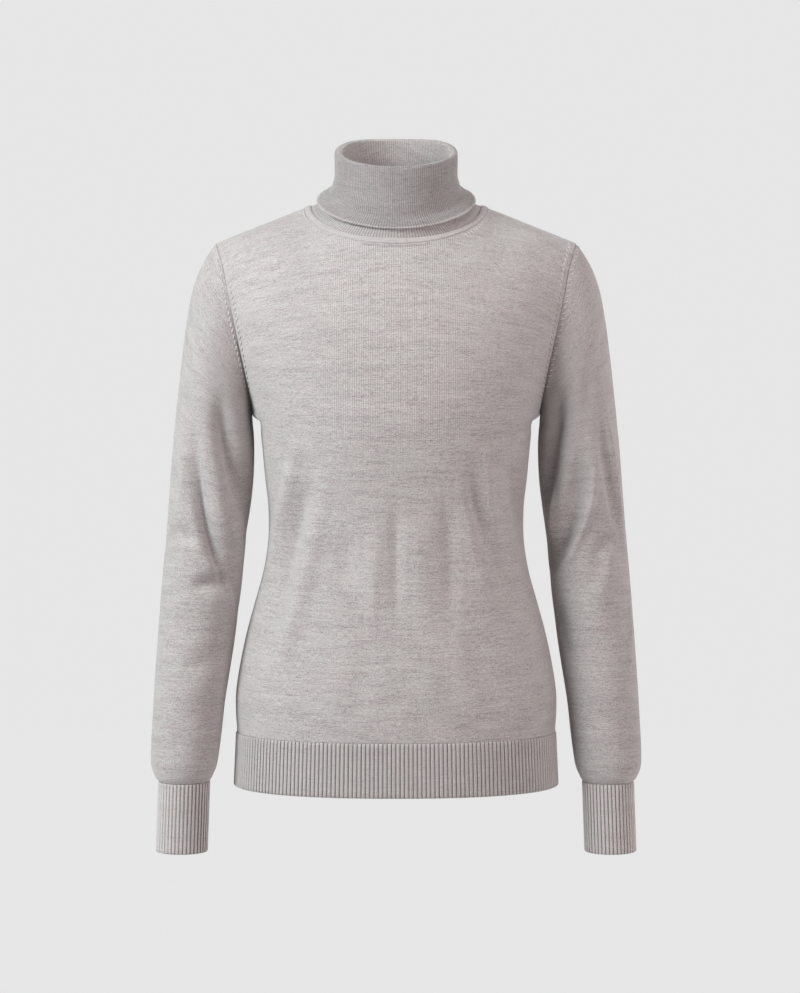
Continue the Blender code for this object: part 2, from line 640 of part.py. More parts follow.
def collar_ring(i, columns):
    """One level of the collar: an oval whose height runs smoothly from front to side to back."""
    ring = []
    front_y, back_y = COLLAR["front_y"][i], COLLAR["back_y"][i]
    front_z, side_z, back_z = COLLAR["front_z"][i], COLLAR["side_z"][i], COLLAR["back_z"][i]
    level = (front_z + back_z + 2 * side_z) / 4
    tilt = (front_z - back_z) / 2
    saddle = (front_z + back_z - 2 * side_z) / 4
    for c in range(columns):
        angle = 2 * np.pi * c / columns
        forward = np.cos(angle)
        if forward < 0.0:
            slant = forward * (1.0 + COLLAR_BACK_LEVEL * np.sin(angle)**2)
        else:
            slant = forward
        ring.append((COLLAR["side_x"][i] * np.sin(angle),
                     (front_y + back_y) / 2 + (front_y - back_y) / 2 * forward,
                     level + tilt * slant + saddle * np.cos(2 * angle)))
    return np.array(ring)


def collar_middle(columns):
    """The middle of the collar's wall, row by row, seated on the neck seam."""
    rows = np.array([collar_ring(i, columns) for i in range(len(COLLAR["side_x"]))])
    foot = np.array([collar_foot_point(2 * np.pi * c / columns) for c in range(columns)])
    shift = foot - rows[0]
    for i, share in enumerate(FOOT_SHARE):
        rows[i] += shift * share
    return rows


def make_collar(shade):
    """A tube folded over once, with ribs on the turned-down part. Returns the foot's edge."""
    columns = 2 * COLLAR_RIBS
    plain = slice(None, None, columns // COLLAR_COLUMNS)
    middle = collar_middle(columns)
    away = normals(middle, True)
    between = (middle + away * COLLAR_CLOTH / 2)[:, plain]
    faced = middle - away * COLLAR_CLOTH / 2
    ribs = np.array(faced[list(COLLAR_RIB_ROWS)])
    ribs[:, 1::2] -= away[list(COLLAR_RIB_ROWS), 1::2] * COLLAR_RISE
    shape = bmesh.new()
    gap_side = [[shape.verts.new(point) for point in row] for row in between]
    plain_side = [[shape.verts.new(point) for point in row] for row in faced[:COLLAR_TOP + 1, plain]]
    rib_side = [[shape.verts.new(point) for point in row] for row in ribs]
    for rows in (gap_side, plain_side, rib_side):
        for lower, upper in zip(rows[:-1], rows[1:]):
            for face in quads(lower, upper, True):
                shape.faces.new(face)
    for face in quads(gap_side[0], plain_side[0], True):
        shape.faces.new(face)
    for face in fans(rib_side[0], plain_side[-1], True):
        shape.faces.new(face)
    for face in fans(rib_side[-1], gap_side[-1], True):
        shape.faces.new(face)
    make_object("collar", shape, shade)
    return between[0]


def neck_seam(front, back):
    """The edge of the neck opening all round, counted from centre front towards +X, and its angles."""
    top_front = front[-1]
    top_back = back[-1]
    centre, back_centre = FRONT_COLUMNS, BACK_COLUMNS
    right_front = top_front[centre:centre + FRONT_NECK_COLUMNS + 1]
    left_front = top_front[centre - FRONT_NECK_COLUMNS:centre]
    whole_back = top_back[back_centre - BACK_NECK_COLUMNS:back_centre + BACK_NECK_COLUMNS + 1]
    loop = np.concatenate([right_front, whole_back[1:-1], left_front])
    quarter = np.linspace(0.0, np.pi / 2, FRONT_NECK_COLUMNS + 1)
    behind_quarter = np.linspace(np.pi / 2, 3 * np.pi / 2, 2 * BACK_NECK_COLUMNS + 1)[1:-1]
    angles = np.concatenate([quarter, behind_quarter, 2 * np.pi - quarter[:0:-1]])
    return loop, angles


def make_trim(front, back, collar_foot, shade):
    """A rounded band between the neck opening's edge and the foot of the collar."""
    edge, edge_angles = neck_seam(front, back)
    edge = np.concatenate([edge, edge[:1]])
    edge_angles = np.append(edge_angles, 2 * np.pi)
    angles = 2 * np.pi * np.arange(COLLAR_COLUMNS) / COLLAR_COLUMNS
    loop = np.stack([np.interp(angles, edge_angles, edge[:, axis]) for axis in range(3)], axis=-1)
    along = unit(np.roll(loop, -1, axis=0) - np.roll(loop, 1, axis=0))
    across = collar_foot - loop
    width = np.linalg.norm(across, axis=-1, keepdims=True)
    across = across / width
    proud = unit(np.cross(along, across))
    proud = proud * np.sign(proud[:, 2:3])
    reach = width / 2 - SEAM_GAP
    shape = bmesh.new()
    rings = []
    for k in range(TRIM_SIDES):
        turn = 2 * np.pi * k / TRIM_SIDES
        section = across * reach * np.cos(turn) + proud * TRIM_THICKNESS / 2 * np.sin(turn)
        rings.append([shape.verts.new(point) for point in (loop + collar_foot) / 2 + section])
    for k in range(TRIM_SIDES):
        for face in quads(rings[k], rings[(k + 1) % TRIM_SIDES], True):
            shape.faces.new(face)
    make_object("neck_trim", shape, shade)


def main():
    for piece in list(bpy.data.objects):
        bpy.data.objects.remove(piece)
    knit = material("fine_knit", (0.46, 0.42, 0.41), 0.92)
    sleeve_knit = material("sleeve_knit", (0.45, 0.41, 0.40), 0.92)
    rib = material("band_rib", (0.42, 0.38, 0.37), 0.90)
    cuff_rib = material("cuff_rib", (0.42, 0.38, 0.37), 0.90)
    collar_rib = material("collar_rib", (0.43, 0.39, 0.38), 0.90)
    trim = material("neck_band", (0.45, 0.41, 0.40), 0.90)
    front, back = make_body(knit)
    for side in ("front", "back"):
        make_hem(side, rib)
    loop = armhole_loop(front, back)
    for name, sign, folds in (("left", -1, LEFT_SLEEVE_FOLDS), ("right", 1, RIGHT_SLEEVE_FOLDS)):
        make_sleeve("sleeve_" + name, loop, folds, sign, sleeve_knit)
        make_cuff("cuff_" + name, sign, cuff_rib)
    collar_foot = make_collar(collar_rib)
    make_trim(front, back, collar_foot, trim)


main()
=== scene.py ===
import bpy
import numpy as np
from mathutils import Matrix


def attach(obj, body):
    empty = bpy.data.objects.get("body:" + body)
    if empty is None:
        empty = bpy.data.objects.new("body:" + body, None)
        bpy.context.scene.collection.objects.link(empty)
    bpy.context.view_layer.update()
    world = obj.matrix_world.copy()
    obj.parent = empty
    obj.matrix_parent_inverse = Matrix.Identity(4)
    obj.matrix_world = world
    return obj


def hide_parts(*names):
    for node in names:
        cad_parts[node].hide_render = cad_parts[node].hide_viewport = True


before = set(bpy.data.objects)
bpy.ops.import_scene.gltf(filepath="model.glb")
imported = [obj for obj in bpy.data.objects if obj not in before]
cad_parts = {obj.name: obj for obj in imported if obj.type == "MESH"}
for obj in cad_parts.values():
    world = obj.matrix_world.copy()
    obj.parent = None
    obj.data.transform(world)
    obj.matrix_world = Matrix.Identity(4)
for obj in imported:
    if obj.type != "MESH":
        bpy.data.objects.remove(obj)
bpy.ops.object.select_all(action="DESELECT")
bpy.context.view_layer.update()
print("frame loaded:", len(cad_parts), "pieces to dress")


# ---- small helpers for tables, curves and cloth
def columns(names, *rows):
    return {name: np.array([row[i] for row in rows]) for i, name in enumerate(names.split())}


def smooth(low, high, value):
    t = np.clip((value - low) / (high - low), 0.0, 1.0)
    return t * t * (3.0 - 2.0 * t)


def blend(first, last, share):
    return first + (last - first) * share


def unit(vectors):
    return vectors / np.maximum(np.linalg.norm(vectors, axis=-1, keepdims=True), 1e-12)


def readCurve(rows, column, key, at):  # a smooth curve through a table's column
    keys = rows[key] if isinstance(key, str) else key
    values = rows[column]
    at = np.clip(at, keys[0], keys[-1])
    i = np.clip(np.searchsorted(keys, at) - 1, 0, len(keys) - 2)
    grade = np.concatenate([[(values[1] - values[0]) / (keys[1] - keys[0])],
                            (values[2:] - values[:-2]) / (keys[2:] - keys[:-2]),
                            [(values[-1] - values[-2]) / (keys[-1] - keys[-2])]])
    step = keys[i + 1] - keys[i]
    t = (at - keys[i]) / step
    return ((2 * t**3 - 3 * t**2 + 1) * values[i] + (t**3 - 2 * t**2 + t) * step * grade[i]
            + (3 * t**2 - 2 * t**3) * values[i + 1] + (t**3 - t**2) * step * grade[i + 1])


def clothNormals(grid, wrap):  # columns run right and rows run up, seen from outside
    if wrap:
        across = np.roll(grid, -1, axis=1) - np.roll(grid, 1, axis=1)
    else:
        across = np.gradient(grid, axis=1)
    return unit(np.cross(across, np.gradient(grid, axis=0)))


def behind(grid, thickness, wrap, keepOff=None):  # the cloth's inner side
    inward = -clothNormals(grid, wrap)
    if keepOff is not None:
        toward = np.maximum((inward * keepOff).sum(axis=-1, keepdims=True), 0.0)
        inward = unit(inward - toward * keepOff)
    return grid + inward * thickness


creaseLine = {"points": 19, "fade": 0.4, "least": 0.10}   # fade is the share that dies away at each end


def creaseDepth(creases, start, across, along):  # soft troughs and ridges, each a bent line
    depth = np.zeros(across.shape)
    for i in range(len(creases["depth"])):
        p0, p1, p2 = (np.array([creases[start + k][i], creases["z" + k][i]]) for k in "012")
        pull = 2 * p1 - (p0 + p2) / 2
        s = np.linspace(0.0, 1.0, creaseLine["points"])[:, None]
        line = (1 - s)**2 * p0 + 2 * s * (1 - s) * pull + s**2 * p2
        nearest = np.full(across.shape, np.inf)
        place = np.zeros(across.shape)
        for k in range(len(line) - 1):
            run = line[k + 1] - line[k]
            t = ((across - line[k][0]) * run[0] + (along - line[k][1]) * run[1]) / (run @ run)
            t = np.clip(t, 0.0, 1.0)
            away = (across - line[k][0] - t * run[0])**2 + (along - line[k][1] - t * run[1])**2
            place = np.where(away < nearest, (k + t) / (len(line) - 1), place)
            nearest = np.minimum(away, nearest)
        ends = smooth(0.0, creaseLine["fade"], place) * smooth(0.0, creaseLine["fade"], 1.0 - place)
        height = creases["depth"][i] * blend(creaseLine["least"], 1.0, ends)
        depth += height * np.exp(-nearest / (2 * creases["width"][i]**2))
    return depth


def runLength(grid, axis):  # distance along the cloth, from the grid's first row or column
    steps = np.linalg.norm(np.diff(grid, axis=axis), axis=-1)
    zero = np.zeros_like(np.take(steps, [0], axis=axis))
    return np.cumsum(np.concatenate([zero, steps], axis=axis), axis=axis)


def pointAt(place, keys, points):  # where a line of points is at one place along its keys
    return np.stack([np.interp(place, keys, points[:, axis]) for axis in range(3)], -1)


def mirrored(points):
    return points * np.array([-1.0, 1.0, 1.0])


# ---- making meshes
def addPiece(name, mesh, look):
    mesh.materials.append(look)
    piece = bpy.data.objects.new(name, mesh)
    bpy.context.scene.collection.objects.link(piece)
    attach(piece, "root")
    return piece


def makePiece(name, points, faces, layouts, look, sharpAngle=60.0):
    mesh = bpy.data.meshes.new(name)
    mesh.from_pydata(np.asarray(points).tolist(), [], np.asarray(faces).tolist())
    for layoutName, layout in layouts.items():
        layer = mesh.uv_layers.new(name=layoutName)
        layer.data.foreach_set("uv", np.asarray(layout, dtype=np.float32).reshape(-1))
    mesh.shade_smooth()
    mesh.set_sharp_from_angle(angle=np.radians(sharpAngle))
    return addPiece(name, mesh, look)


def wallPiece(name, outer, inner, layouts, wrap, look):  # cloth with two sides and rims
    rows, count = outer.shape[:2]
    r, c = np.meshgrid(np.arange(rows - 1), np.arange(count if wrap else count - 1), indexing="ij")
    right = (c + 1) % count
    back = rows * count
    corners = [((r, c), (r, c + 1), (r + 1, c + 1), (r + 1, c))]
    faces = [np.stack([r * count + c, r * count + right, (r + 1) * count + right, (r + 1) * count + c], -1)]
    corners.append(corners[0][::-1])
    faces.append(faces[0][..., ::-1] + back)
    c, right = c[0], right[0]
    low, top = np.zeros_like(c), np.full_like(c, rows - 1)
    topRow = (rows - 1) * count
    corners.append(((low, c + 1), (low, c), (low, c), (low, c + 1)))
    faces.append(np.stack([right, c, back + c, back + right], -1))
    corners.append(((top, c), (top, c + 1), (top, c + 1), (top, c)))
    faces.append(np.stack([topRow + c, topRow + right, back + topRow + right, back + topRow + c], -1))
    if not wrap:
        r = np.arange(rows - 1)
        for side, turn in ((0, 1), (count - 1, -1)):
            side = np.full_like(r, side)
            near, far = r * count + side, (r + 1) * count + side
            corners.append(((r, side), (r + 1, side), (r + 1, side), (r, side))[::turn])
            faces.append(np.stack([near, far, back + far, back + near][::turn], -1))
    layouts = {key: np.concatenate([np.stack([uv[i, j] for i, j in loop], -2).reshape(-1, 4, 2)
                                    for loop in corners]) for key, uv in layouts.items()}
    faces = np.concatenate([f.reshape(-1, 4) for f in faces])
    points = np.concatenate([outer.reshape(-1, 3), inner.reshape(-1, 3)])
    return makePiece(name, points, faces, layouts, look)


# ---- shader helpers: a Wire is a socket that takes part in sums, and one method makes every other node
class Wire:
    def __init__(self, look, socket):
        self.look = look
        self.socket = socket

    def math(self, operation, *others):
        values = {i: value for i, value in enumerate((self, *others))}
        return self.look.node("ShaderNodeMath", {"operation": operation}, values)

    def reflected(self, operation, first):
        return self.look.node("ShaderNodeMath", {"operation": operation}, {0: first, 1: self})

    def __add__(self, other):
        return self.math("ADD", other)

    def __sub__(self, other):
        return self.math("SUBTRACT", other)

    def __mul__(self, other):
        return self.math("MULTIPLY", other)

    def __truediv__(self, other):
        return self.math("DIVIDE", other)

    def __rsub__(self, other):
        return self.reflected("SUBTRACT", other)

    __radd__ = __add__
    __rmul__ = __mul__


class Look:
    def __init__(self, name, roughness, sheen=0.0, sheenRoughness=0.5):
        self.material = bpy.data.materials.new(name)
        self.material.use_nodes = True
        self.tree = self.material.node_tree
        self.shader = self.tree.nodes["Principled BSDF"]
        self.shader.inputs["Roughness"].default_value = roughness
        self.shader.inputs["Specular IOR Level"].default_value = 0.25
        self.shader.inputs["Sheen Weight"].default_value = sheen
        self.shader.inputs["Sheen Roughness"].default_value = sheenRoughness

    def node(self, kind, settings=None, values=None, output=0):
        made = self.tree.nodes.new(kind)
        for key, value in (settings or {}).items():
            setattr(made, key, value)
        for key, value in (values or {}).items():
            socket = made.inputs[key]
            if isinstance(value, Wire):
                self.tree.links.new(value.socket, socket)
            else:
                socket.default_value = value
        return Wire(self, made.outputs[output])

    def mixColours(self, share, first, last, mode="MIX"):
        values = {0: share, 6: first, 7: last}
        return self.node("ShaderNodeMix", {"data_type": "RGBA", "blend_type": mode}, values, 2)

    def feed(self, name, wire):
        self.tree.links.new(wire.socket, self.shader.inputs[name])


# ---- the knit: fine wales and courses, and a melange of lighter and darker fibres in short level streaks
knit = {
    "walePitch": 0.0023,
    "coursePitch": 0.0016,
    "stitchRise": 0.00016,
    "courseBend": 1.2,      # how far a course dips across a wale, in courses
    "courseShare": 0.45,    # how much of a stitch's shade comes from its course
    "light": (0.510, 0.476, 0.468),
    "middle": (0.402, 0.369, 0.364),
    "dark": (0.262, 0.233, 0.228),
    "rosy": (1.010, 0.996, 0.999),
    "mossy": (0.993, 1.003, 0.996),
    "tintPatch": (0.030, 0.012, 1.0, 23.5),     # width, height, detail and shift of the noise
    "fuzz": (0.0011, 0.0009, 1.0, 31.0),
    "streaks": (                                # width, height, strength and shift of each layer
        (0.0054, 0.0013, 1.20, 3.1),
        (0.0210, 0.0017, 0.85, 14.6),
        (0.0016, 0.0012, 2.00, 21.9),
        (0.0340, 0.0130, 0.45, 29.2)),
    "chestEdge": (0.045, 0.095),    # half widths between which the chest's clear wales die away
    "chestFoot": (-0.050, 0.010),   # and heights above the underarm
    "chestLegs": (0.18, 0.50),      # the part of a wale painted darker there, as shade in the grooves between wales
    "chestLift": 0.36,              # how much lighter the chest is painted between them
    "roughness": 0.92,
    "sheen": 0.34,
    "sheenRoughness": 0.6,
}


# a knit's melange colour, darkened by painted shade in the grooves of its stitches and ribs, and lifted by
# painted light in any bands it is given
def knitLook(name, contrast=1.0, tone=1.0, wales=0.10, chest=0.0, ribShade=0.0, ribWidth=0.62, folded=()):
    look = Look(name, knit["roughness"], knit["sheen"], knit["sheenRoughness"])

    def layoutParts(layout):
        place = look.node("ShaderNodeUVMap", {"uv_map": layout})
        parts = look.node("ShaderNodeSeparateXYZ", values={0: place})
        return parts, Wire(look, parts.socket.node.outputs[1])

    def noise(width, height, detail, shift):
        spot = look.node("ShaderNodeCombineXYZ", values={0: across / width, 1: along / height, 2: shift})
        values = {"Vector": spot, "Scale": 1.0, "Detail": detail, "Roughness": 0.5}
        return look.node("ShaderNodeTexNoise", values=values)

    def lift(wire, low, high, bottom=0.0, top=1.0):
        values = {0: wire, 1: low, 2: high, 3: bottom, 4: top}
        return look.node("ShaderNodeMapRange", {"interpolation_type": "SMOOTHSTEP"}, values)

    def tinted(colour, by=1.0):
        return (*(part * by for part in colour), 1.0)

    across, along = layoutParts("knit")
    shade = 0.5
    for width, height, strength, shift in knit["streaks"]:
        shade = shade + (noise(width, height, 2.0, shift) - 0.5) * (strength * contrast)
    dark, middle, light = (tinted(knit[key], tone) for key in ("dark", "middle", "light"))
    colour = look.mixColours(lift(shade, 0.0, 0.5), dark, middle)
    colour = look.mixColours(lift(shade, 0.5, 1.0), colour, light)
    patch = lift(noise(*knit["tintPatch"]), 0.40, 0.60)
    tint = look.mixColours(patch, tinted(knit["rosy"]), tinted(knit["mossy"]))
    colour = look.mixColours(1.0, colour, tint, "MULTIPLY")
    leg = ((across / knit["walePitch"]).math("FRACT") - 0.5).math("ABSOLUTE")
    course = (along / knit["coursePitch"] + leg * knit["courseBend"]).math("FRACT")
    wale = (leg * (2.0 * np.pi)).math("SINE")
    stitch = wale * ((course * np.pi).math("SINE") * knit["courseShare"] + (1.0 - knit["courseShare"]))
    # painted shade: the cloth is darker where its stitches' relief is low, in the grooves between legs and
    # courses, as much as wales says
    paintedLightAndShade = 1.0 - (1.0 - stitch) * wales
    # painted shade and light on the chest: each wale's edges darker, the cloth between them lighter
    if chest:
        onChest = lift(across.math("ABSOLUTE"), *knit["chestEdge"], 1.0, 0.0)
        onChest = onChest * lift(along, *knit["chestFoot"])
        paintedLightAndShade = paintedLightAndShade * (1.0 - lift(leg, *knit["chestLegs"]) * onChest * chest)
        paintedLightAndShade = paintedLightAndShade * (onChest * (chest * knit["chestLift"]) + 1.0)
    relief = stitch + noise(*knit["fuzz"]) * 0.5
    # painted shade in the rib grooves, as dark as ribShade and each rib's strength say
    if ribShade:
        turn, strength = layoutParts("ribs")
        fromGroove = (turn.math("FRACT") - 0.5).math("ABSOLUTE") * 2.0
        groove = 1.0 - lift(1.0 - fromGroove, 0.0, 1.0 - ribWidth)
        paintedLightAndShade = paintedLightAndShade * (1.0 - groove * strength * ribShade)
    for start, end, before, after in folded:   # shares of the length from sewn foot to free edge, and how much painted light lifts the tone before and after them
        paintedLightAndShade = paintedLightAndShade * lift(layoutParts("fold")[1], start, end, before, after)
    # the painted light and shade multiply the melange colour
    grey = look.node("ShaderNodeCombineXYZ", values={0: paintedLightAndShade, 1: paintedLightAndShade, 2: paintedLightAndShade})
    look.feed("Base Color", look.mixColours(1.0, colour, grey, "MULTIPLY"))
    values = {"Strength": 1.0, "Distance": knit["stitchRise"], "Height": relief}
    look.feed("Normal", look.node("ShaderNodeBump", values=values))
    return look.material


bodyLook = knitLook("melange stockinette", tone=0.925, chest=0.38)
sleeveLook = knitLook("sleeve stockinette", tone=0.88)
bandLook = knitLook("rib band knit", contrast=0.55, tone=0.92, wales=0.06, ribShade=0.66)
cuffLook = knitLook("cuff rib knit", contrast=0.55, tone=1.07, wales=0.06, ribShade=0.68, ribWidth=0.54)
# painted light: the collar's stand is 1.48 times lighter up to the fold, and the end of its rolled free edge
# 1.42 times lighter as a painted highlight
collarLook = knitLook("fine rib knit", contrast=0.80, tone=0.68, wales=0.04, ribShade=0.48, ribWidth=0.42,
                      folded=((0.42, 0.62, 1.48, 1.0), (0.978, 0.990, 1.0, 1.42)))
trimLook = knitLook("rolled neck band knit", contrast=0.60, tone=0.95, wales=0.05)
# the fashioning marks' raised threads, painted lighter than the cloth as a highlight
highlightStitchLook = knitLook("fashioning stitch, painted highlight", contrast=0.30, tone=1.22, wales=0.0)
# dark threads of painted shadow, below the fashioning marks and along the linking seam
shadowStitchLook = knitLook("painted shadow thread", contrast=0.30, tone=0.50, wales=0.0)
print("knit materials ready")


# ---- the body's form
body = {
    "cloth": 0.0018,
    "seamGap": 0.0003,
    "squareness": 2.25,
    "hemTop": -0.5415,
    "underarmZ": -0.2110,
    "underarmX": 0.1480,
    "tipX": 0.1840,
    "neckX": 0.0940,
    "neckZ": -0.0040,
    "neckReach": {"front": 0.0715, "back": 0.0500},
    "shoulderSlope": 0.41,
    "shoulderRound": 0.035,
    "backNeckRise": 0.006,
    "armholeBow": {"front": 0.0500, "back": 0.0525},
    "cut": {"front": (0.440, 0.570, 0.205), "back": (0.440, 0.575, 0.204)},   # widest, longest and flat area
    "columns": {"front": 13, "back": 11},
    "neckColumns": {"front": 8, "back": 6},
    "armholeRows": 10,
    "finer": 6,          # steps within each column and armhole row
    "finerRows": 8,      # steps within each row below the armhole
    "seamDip": 0.0003,   # how far the cloth draws in beside a sewn seam
    "seamReach": 0.0016,
    "hemDip": 0.6,       # share of that dip at the hem band
    "creaseStrength": 1.25,
    "creaseFromSide": 0.30,       # share of the half width over which creases die away at the side seams
    "creaseFromHem": 0.05,
    "creaseFromUnderarm": 0.03,
    "courseSlant": 0.25,          # how steeply the courses slope near the shoulders
    "slantOver": (-0.20, -0.03),  # heights over which that slope sets in
    "slantRound": 0.03,
    "capTurnsAt": 0.160,          # where the shoulder's rounding is that of its tip
    "formFoot": -0.150,           # heights on the form are looked for above this
    "levels": (-0.5415, -0.520, -0.494, -0.465, -0.434, -0.403, -0.372, -0.341,
               -0.310, -0.281, -0.256, -0.236, -0.2215, -0.2110),
    "torso": columns(
        "z       half    front   back",
        (-0.597, 0.1668, 0.1140, 0.1140),
        (-0.573, 0.1660, 0.1135, 0.1135),
        (-0.543, 0.1642, 0.1125, 0.1120),
        (-0.522, 0.1654, 0.1130, 0.1112),
        (-0.500, 0.1650, 0.1130, 0.1085),
        (-0.469, 0.1602, 0.1115, 0.1035),
        (-0.438, 0.1535, 0.1090, 0.0970),
        (-0.407, 0.1450, 0.1070, 0.0905),
        (-0.376, 0.1365, 0.1055, 0.0850),
        (-0.345, 0.1316, 0.1055, 0.0815),
        (-0.310, 0.1314, 0.1070, 0.0810),
        (-0.280, 0.1346, 0.1100, 0.0835),
        (-0.255, 0.1368, 0.1130, 0.0875),
        (-0.236, 0.1386, 0.1150, 0.0910),
        (-0.222, 0.1398, 0.1165, 0.0940),
        (-0.217, 0.1468, 0.1168, 0.0948),
        (-0.211, 0.1480, 0.1170, 0.0955),
        (-0.170, 0.1480, 0.1155, 0.1000),
        (-0.134, 0.1480, 0.1110, 0.1010),
        (-0.098, 0.1480, 0.1050, 0.0990),
        (-0.065, 0.1480, 0.0990, 0.0940),
        (-0.040, 0.1480, 0.0940, 0.0880),
        (0.0000, 0.1480, 0.0880, 0.0780),
        (0.0400, 0.1480, 0.0820, 0.0700)),
    "chest": columns(     # the half width that the inner columns follow just below the underarm
        "z       half",
        (-0.345, 0.1316),
        (-0.310, 0.1318),
        (-0.280, 0.1355),
        (-0.255, 0.1398),
        (-0.236, 0.1432),
        (-0.211, 0.1480)),
    "pullNearSide": 14,   # how closely the pull-in under the arm keeps to the side seam
    "armhole": columns(
        "z       x",
        (-0.211, 0.1480),
        (-0.195, 0.1500),
        (-0.170, 0.1545),
        (-0.134, 0.1618),
        (-0.098, 0.1695),
        (-0.065, 0.1760),
        (-0.040, 0.1840)),
    "cap": {
        "front": {"start": -0.190, "neckTurn": 3.64, "neckSlope": 1.15, "tipTurn": 2.2, "tipSlope": 2.2},
        "back": {"start": -0.125, "neckTurn": 5.00, "neckSlope": 1.30, "tipTurn": 2.4, "tipSlope": 2.4}},
    "frontCreases": columns(
        "x0      z0      x1      z1      x2      z2      width   depth",
        (-0.0980, -0.225, -0.1150, -0.312, -0.1390, -0.400, 0.0048, -0.0048),
        (-0.0830, -0.258, -0.1075, -0.352, -0.1400, -0.470, 0.0062, 0.0060),
        (-0.0700, -0.270, -0.0940, -0.385, -0.1330, -0.500, 0.0070, -0.0044),
        (-0.0500, -0.320, -0.0500, -0.355, -0.0540, -0.400, 0.0080, 0.0022),
        (-0.0190, -0.315, -0.0220, -0.370, -0.0240, -0.440, 0.0062, -0.0020),
        (0.0010, -0.290, 0.0000, -0.355, 0.0020, -0.445, 0.0040, 0.0022),
        (0.0235, -0.315, 0.0250, -0.365, 0.0320, -0.440, 0.0080, -0.0020),
        (0.0480, -0.290, 0.0530, -0.350, 0.0560, -0.440, 0.0056, 0.0028),
        (0.0690, -0.290, 0.0790, -0.350, 0.1050, -0.415, 0.0062, -0.0034),
        (0.0745, -0.262, 0.0795, -0.305, 0.0940, -0.355, 0.0040, 0.0040),
        (0.0915, -0.240, 0.0945, -0.300, 0.1080, -0.360, 0.0036, -0.0040),
        (0.1110, -0.236, 0.1260, -0.315, 0.1500, -0.385, 0.0052, 0.0046),
        (-0.120, -0.250, -0.106, -0.262, -0.088, -0.268, 0.0050, 0.0012),
        (-0.030, -0.440, -0.034, -0.480, -0.046, -0.520, 0.0070, 0.0012),
        (0.0300, -0.455, 0.0380, -0.490, 0.0560, -0.525, 0.0070, -0.0012),
        (0.0680, -0.420, 0.0880, -0.470, 0.1160, -0.520, 0.0075, 0.0016),
        (-0.060, -0.196, -0.052, -0.203, -0.042, -0.207, 0.0060, 0.0010),
        (-0.139, -0.222, -0.127, -0.236, -0.118, -0.260, 0.0045, 0.0014),
        (0.1400, -0.222, 0.1290, -0.238, 0.1210, -0.262, 0.0045, 0.0014)),
    "backCreases": columns(
        "x0      z0      x1      z1      x2      z2      width   depth",
        (-0.098, -0.238, -0.105, -0.305, -0.122, -0.380, 0.0078, 0.0062),
        (-0.082, -0.270, -0.092, -0.350, -0.120, -0.445, 0.0095, -0.0052),
        (-0.055, -0.300, -0.060, -0.365, -0.085, -0.430, 0.0090, 0.0040),
        (-0.014, -0.285, -0.006, -0.350, -0.012, -0.420, 0.0085, 0.0036),
        (0.0230, -0.310, 0.0260, -0.370, 0.0200, -0.450, 0.0100, -0.0034),
        (0.0560, -0.290, 0.0600, -0.360, 0.0780, -0.430, 0.0085, 0.0042),
        (0.0880, -0.255, 0.0960, -0.340, 0.1240, -0.440, 0.0090, -0.0050),
        (0.1040, -0.232, 0.1120, -0.310, 0.1250, -0.390, 0.0070, 0.0064),
        (-0.034, -0.330, -0.038, -0.380, -0.050, -0.440, 0.0060, -0.0014),
        (0.0400, -0.400, 0.0420, -0.450, 0.0560, -0.500, 0.0070, 0.0014),
        (-0.030, -0.430, -0.026, -0.470, -0.034, -0.515, 0.0070, 0.0013),
        (0.0000, -0.300, 0.0060, -0.340, 0.0040, -0.390, 0.0060, -0.0012),
        (-0.060, -0.140, -0.020, -0.150, 0.0300, -0.146, 0.0090, 0.0010)),
}


def shoulderLine(x, side):
    peak = np.hypot(x, body["shoulderRound"]) - np.hypot(body["neckX"], body["shoulderRound"])
    height = body["neckZ"] - body["shoulderSlope"] * peak
    if side == "back":
        height = height + body["backNeckRise"] * np.clip(1.0 - (x / body["neckX"])**2, 0.0, 1.0)**2
    return height


def capShare(x, z, side):
    turn = body["cap"][side]
    share = smooth(body["neckX"], body["capTurnsAt"], np.abs(x))
    power = blend(turn["neckTurn"], turn["tipTurn"], share)
    slope = blend(turn["neckSlope"], turn["tipSlope"], share)
    rise = np.clip((z - turn["start"]) / (shoulderLine(x, side) - turn["start"]), 0.0, 1.0)
    return (1.0 - rise**power)**(1.0 / slope)


def armholeDepth(z, side):
    top = body["armhole"]["z"][-1]
    middle, half = (body["underarmZ"] + top) / 2, (top - body["underarmZ"]) / 2
    return body["armholeBow"][side] * np.sqrt(np.maximum(0.0, 1.0 - ((z - middle) / half)**2))


def halfWidth(z, side):
    low = readCurve(body["torso"], "half", "z", z)
    power = body["squareness"]
    z = np.clip(z, body["underarmZ"], body["armhole"]["z"][-1] - 0.005)
    x = readCurve(body["armhole"], "x", "z", z)
    share = armholeDepth(z, side) / (readCurve(body["torso"], side, "z", z) * capShare(x, z, side))
    high = x * (1.0 - np.minimum(share, 0.999)**power)**(-1.0 / power)
    return np.where(z <= body["underarmZ"], low, high)


def bodyDepth(x, z, side):
    power = body["squareness"]
    share = np.minimum(np.abs(x) / halfWidth(z, side), 1.0)
    return readCurve(body["torso"], side, "z", z) * (1.0 - share**power)**(1.0 / power) * capShare(x, z, side)


def heightOnForm(x, depth, side):
    low = np.full(np.shape(x), body["formFoot"])
    high = shoulderLine(x, side) + np.zeros(np.shape(x))
    for _ in range(40):
        middle = (low + high) / 2
        deeper = bodyDepth(x, middle, side) > depth
        low = np.where(deeper, middle, low)
        high = np.where(deeper, high, middle)
    return (low + high) / 2


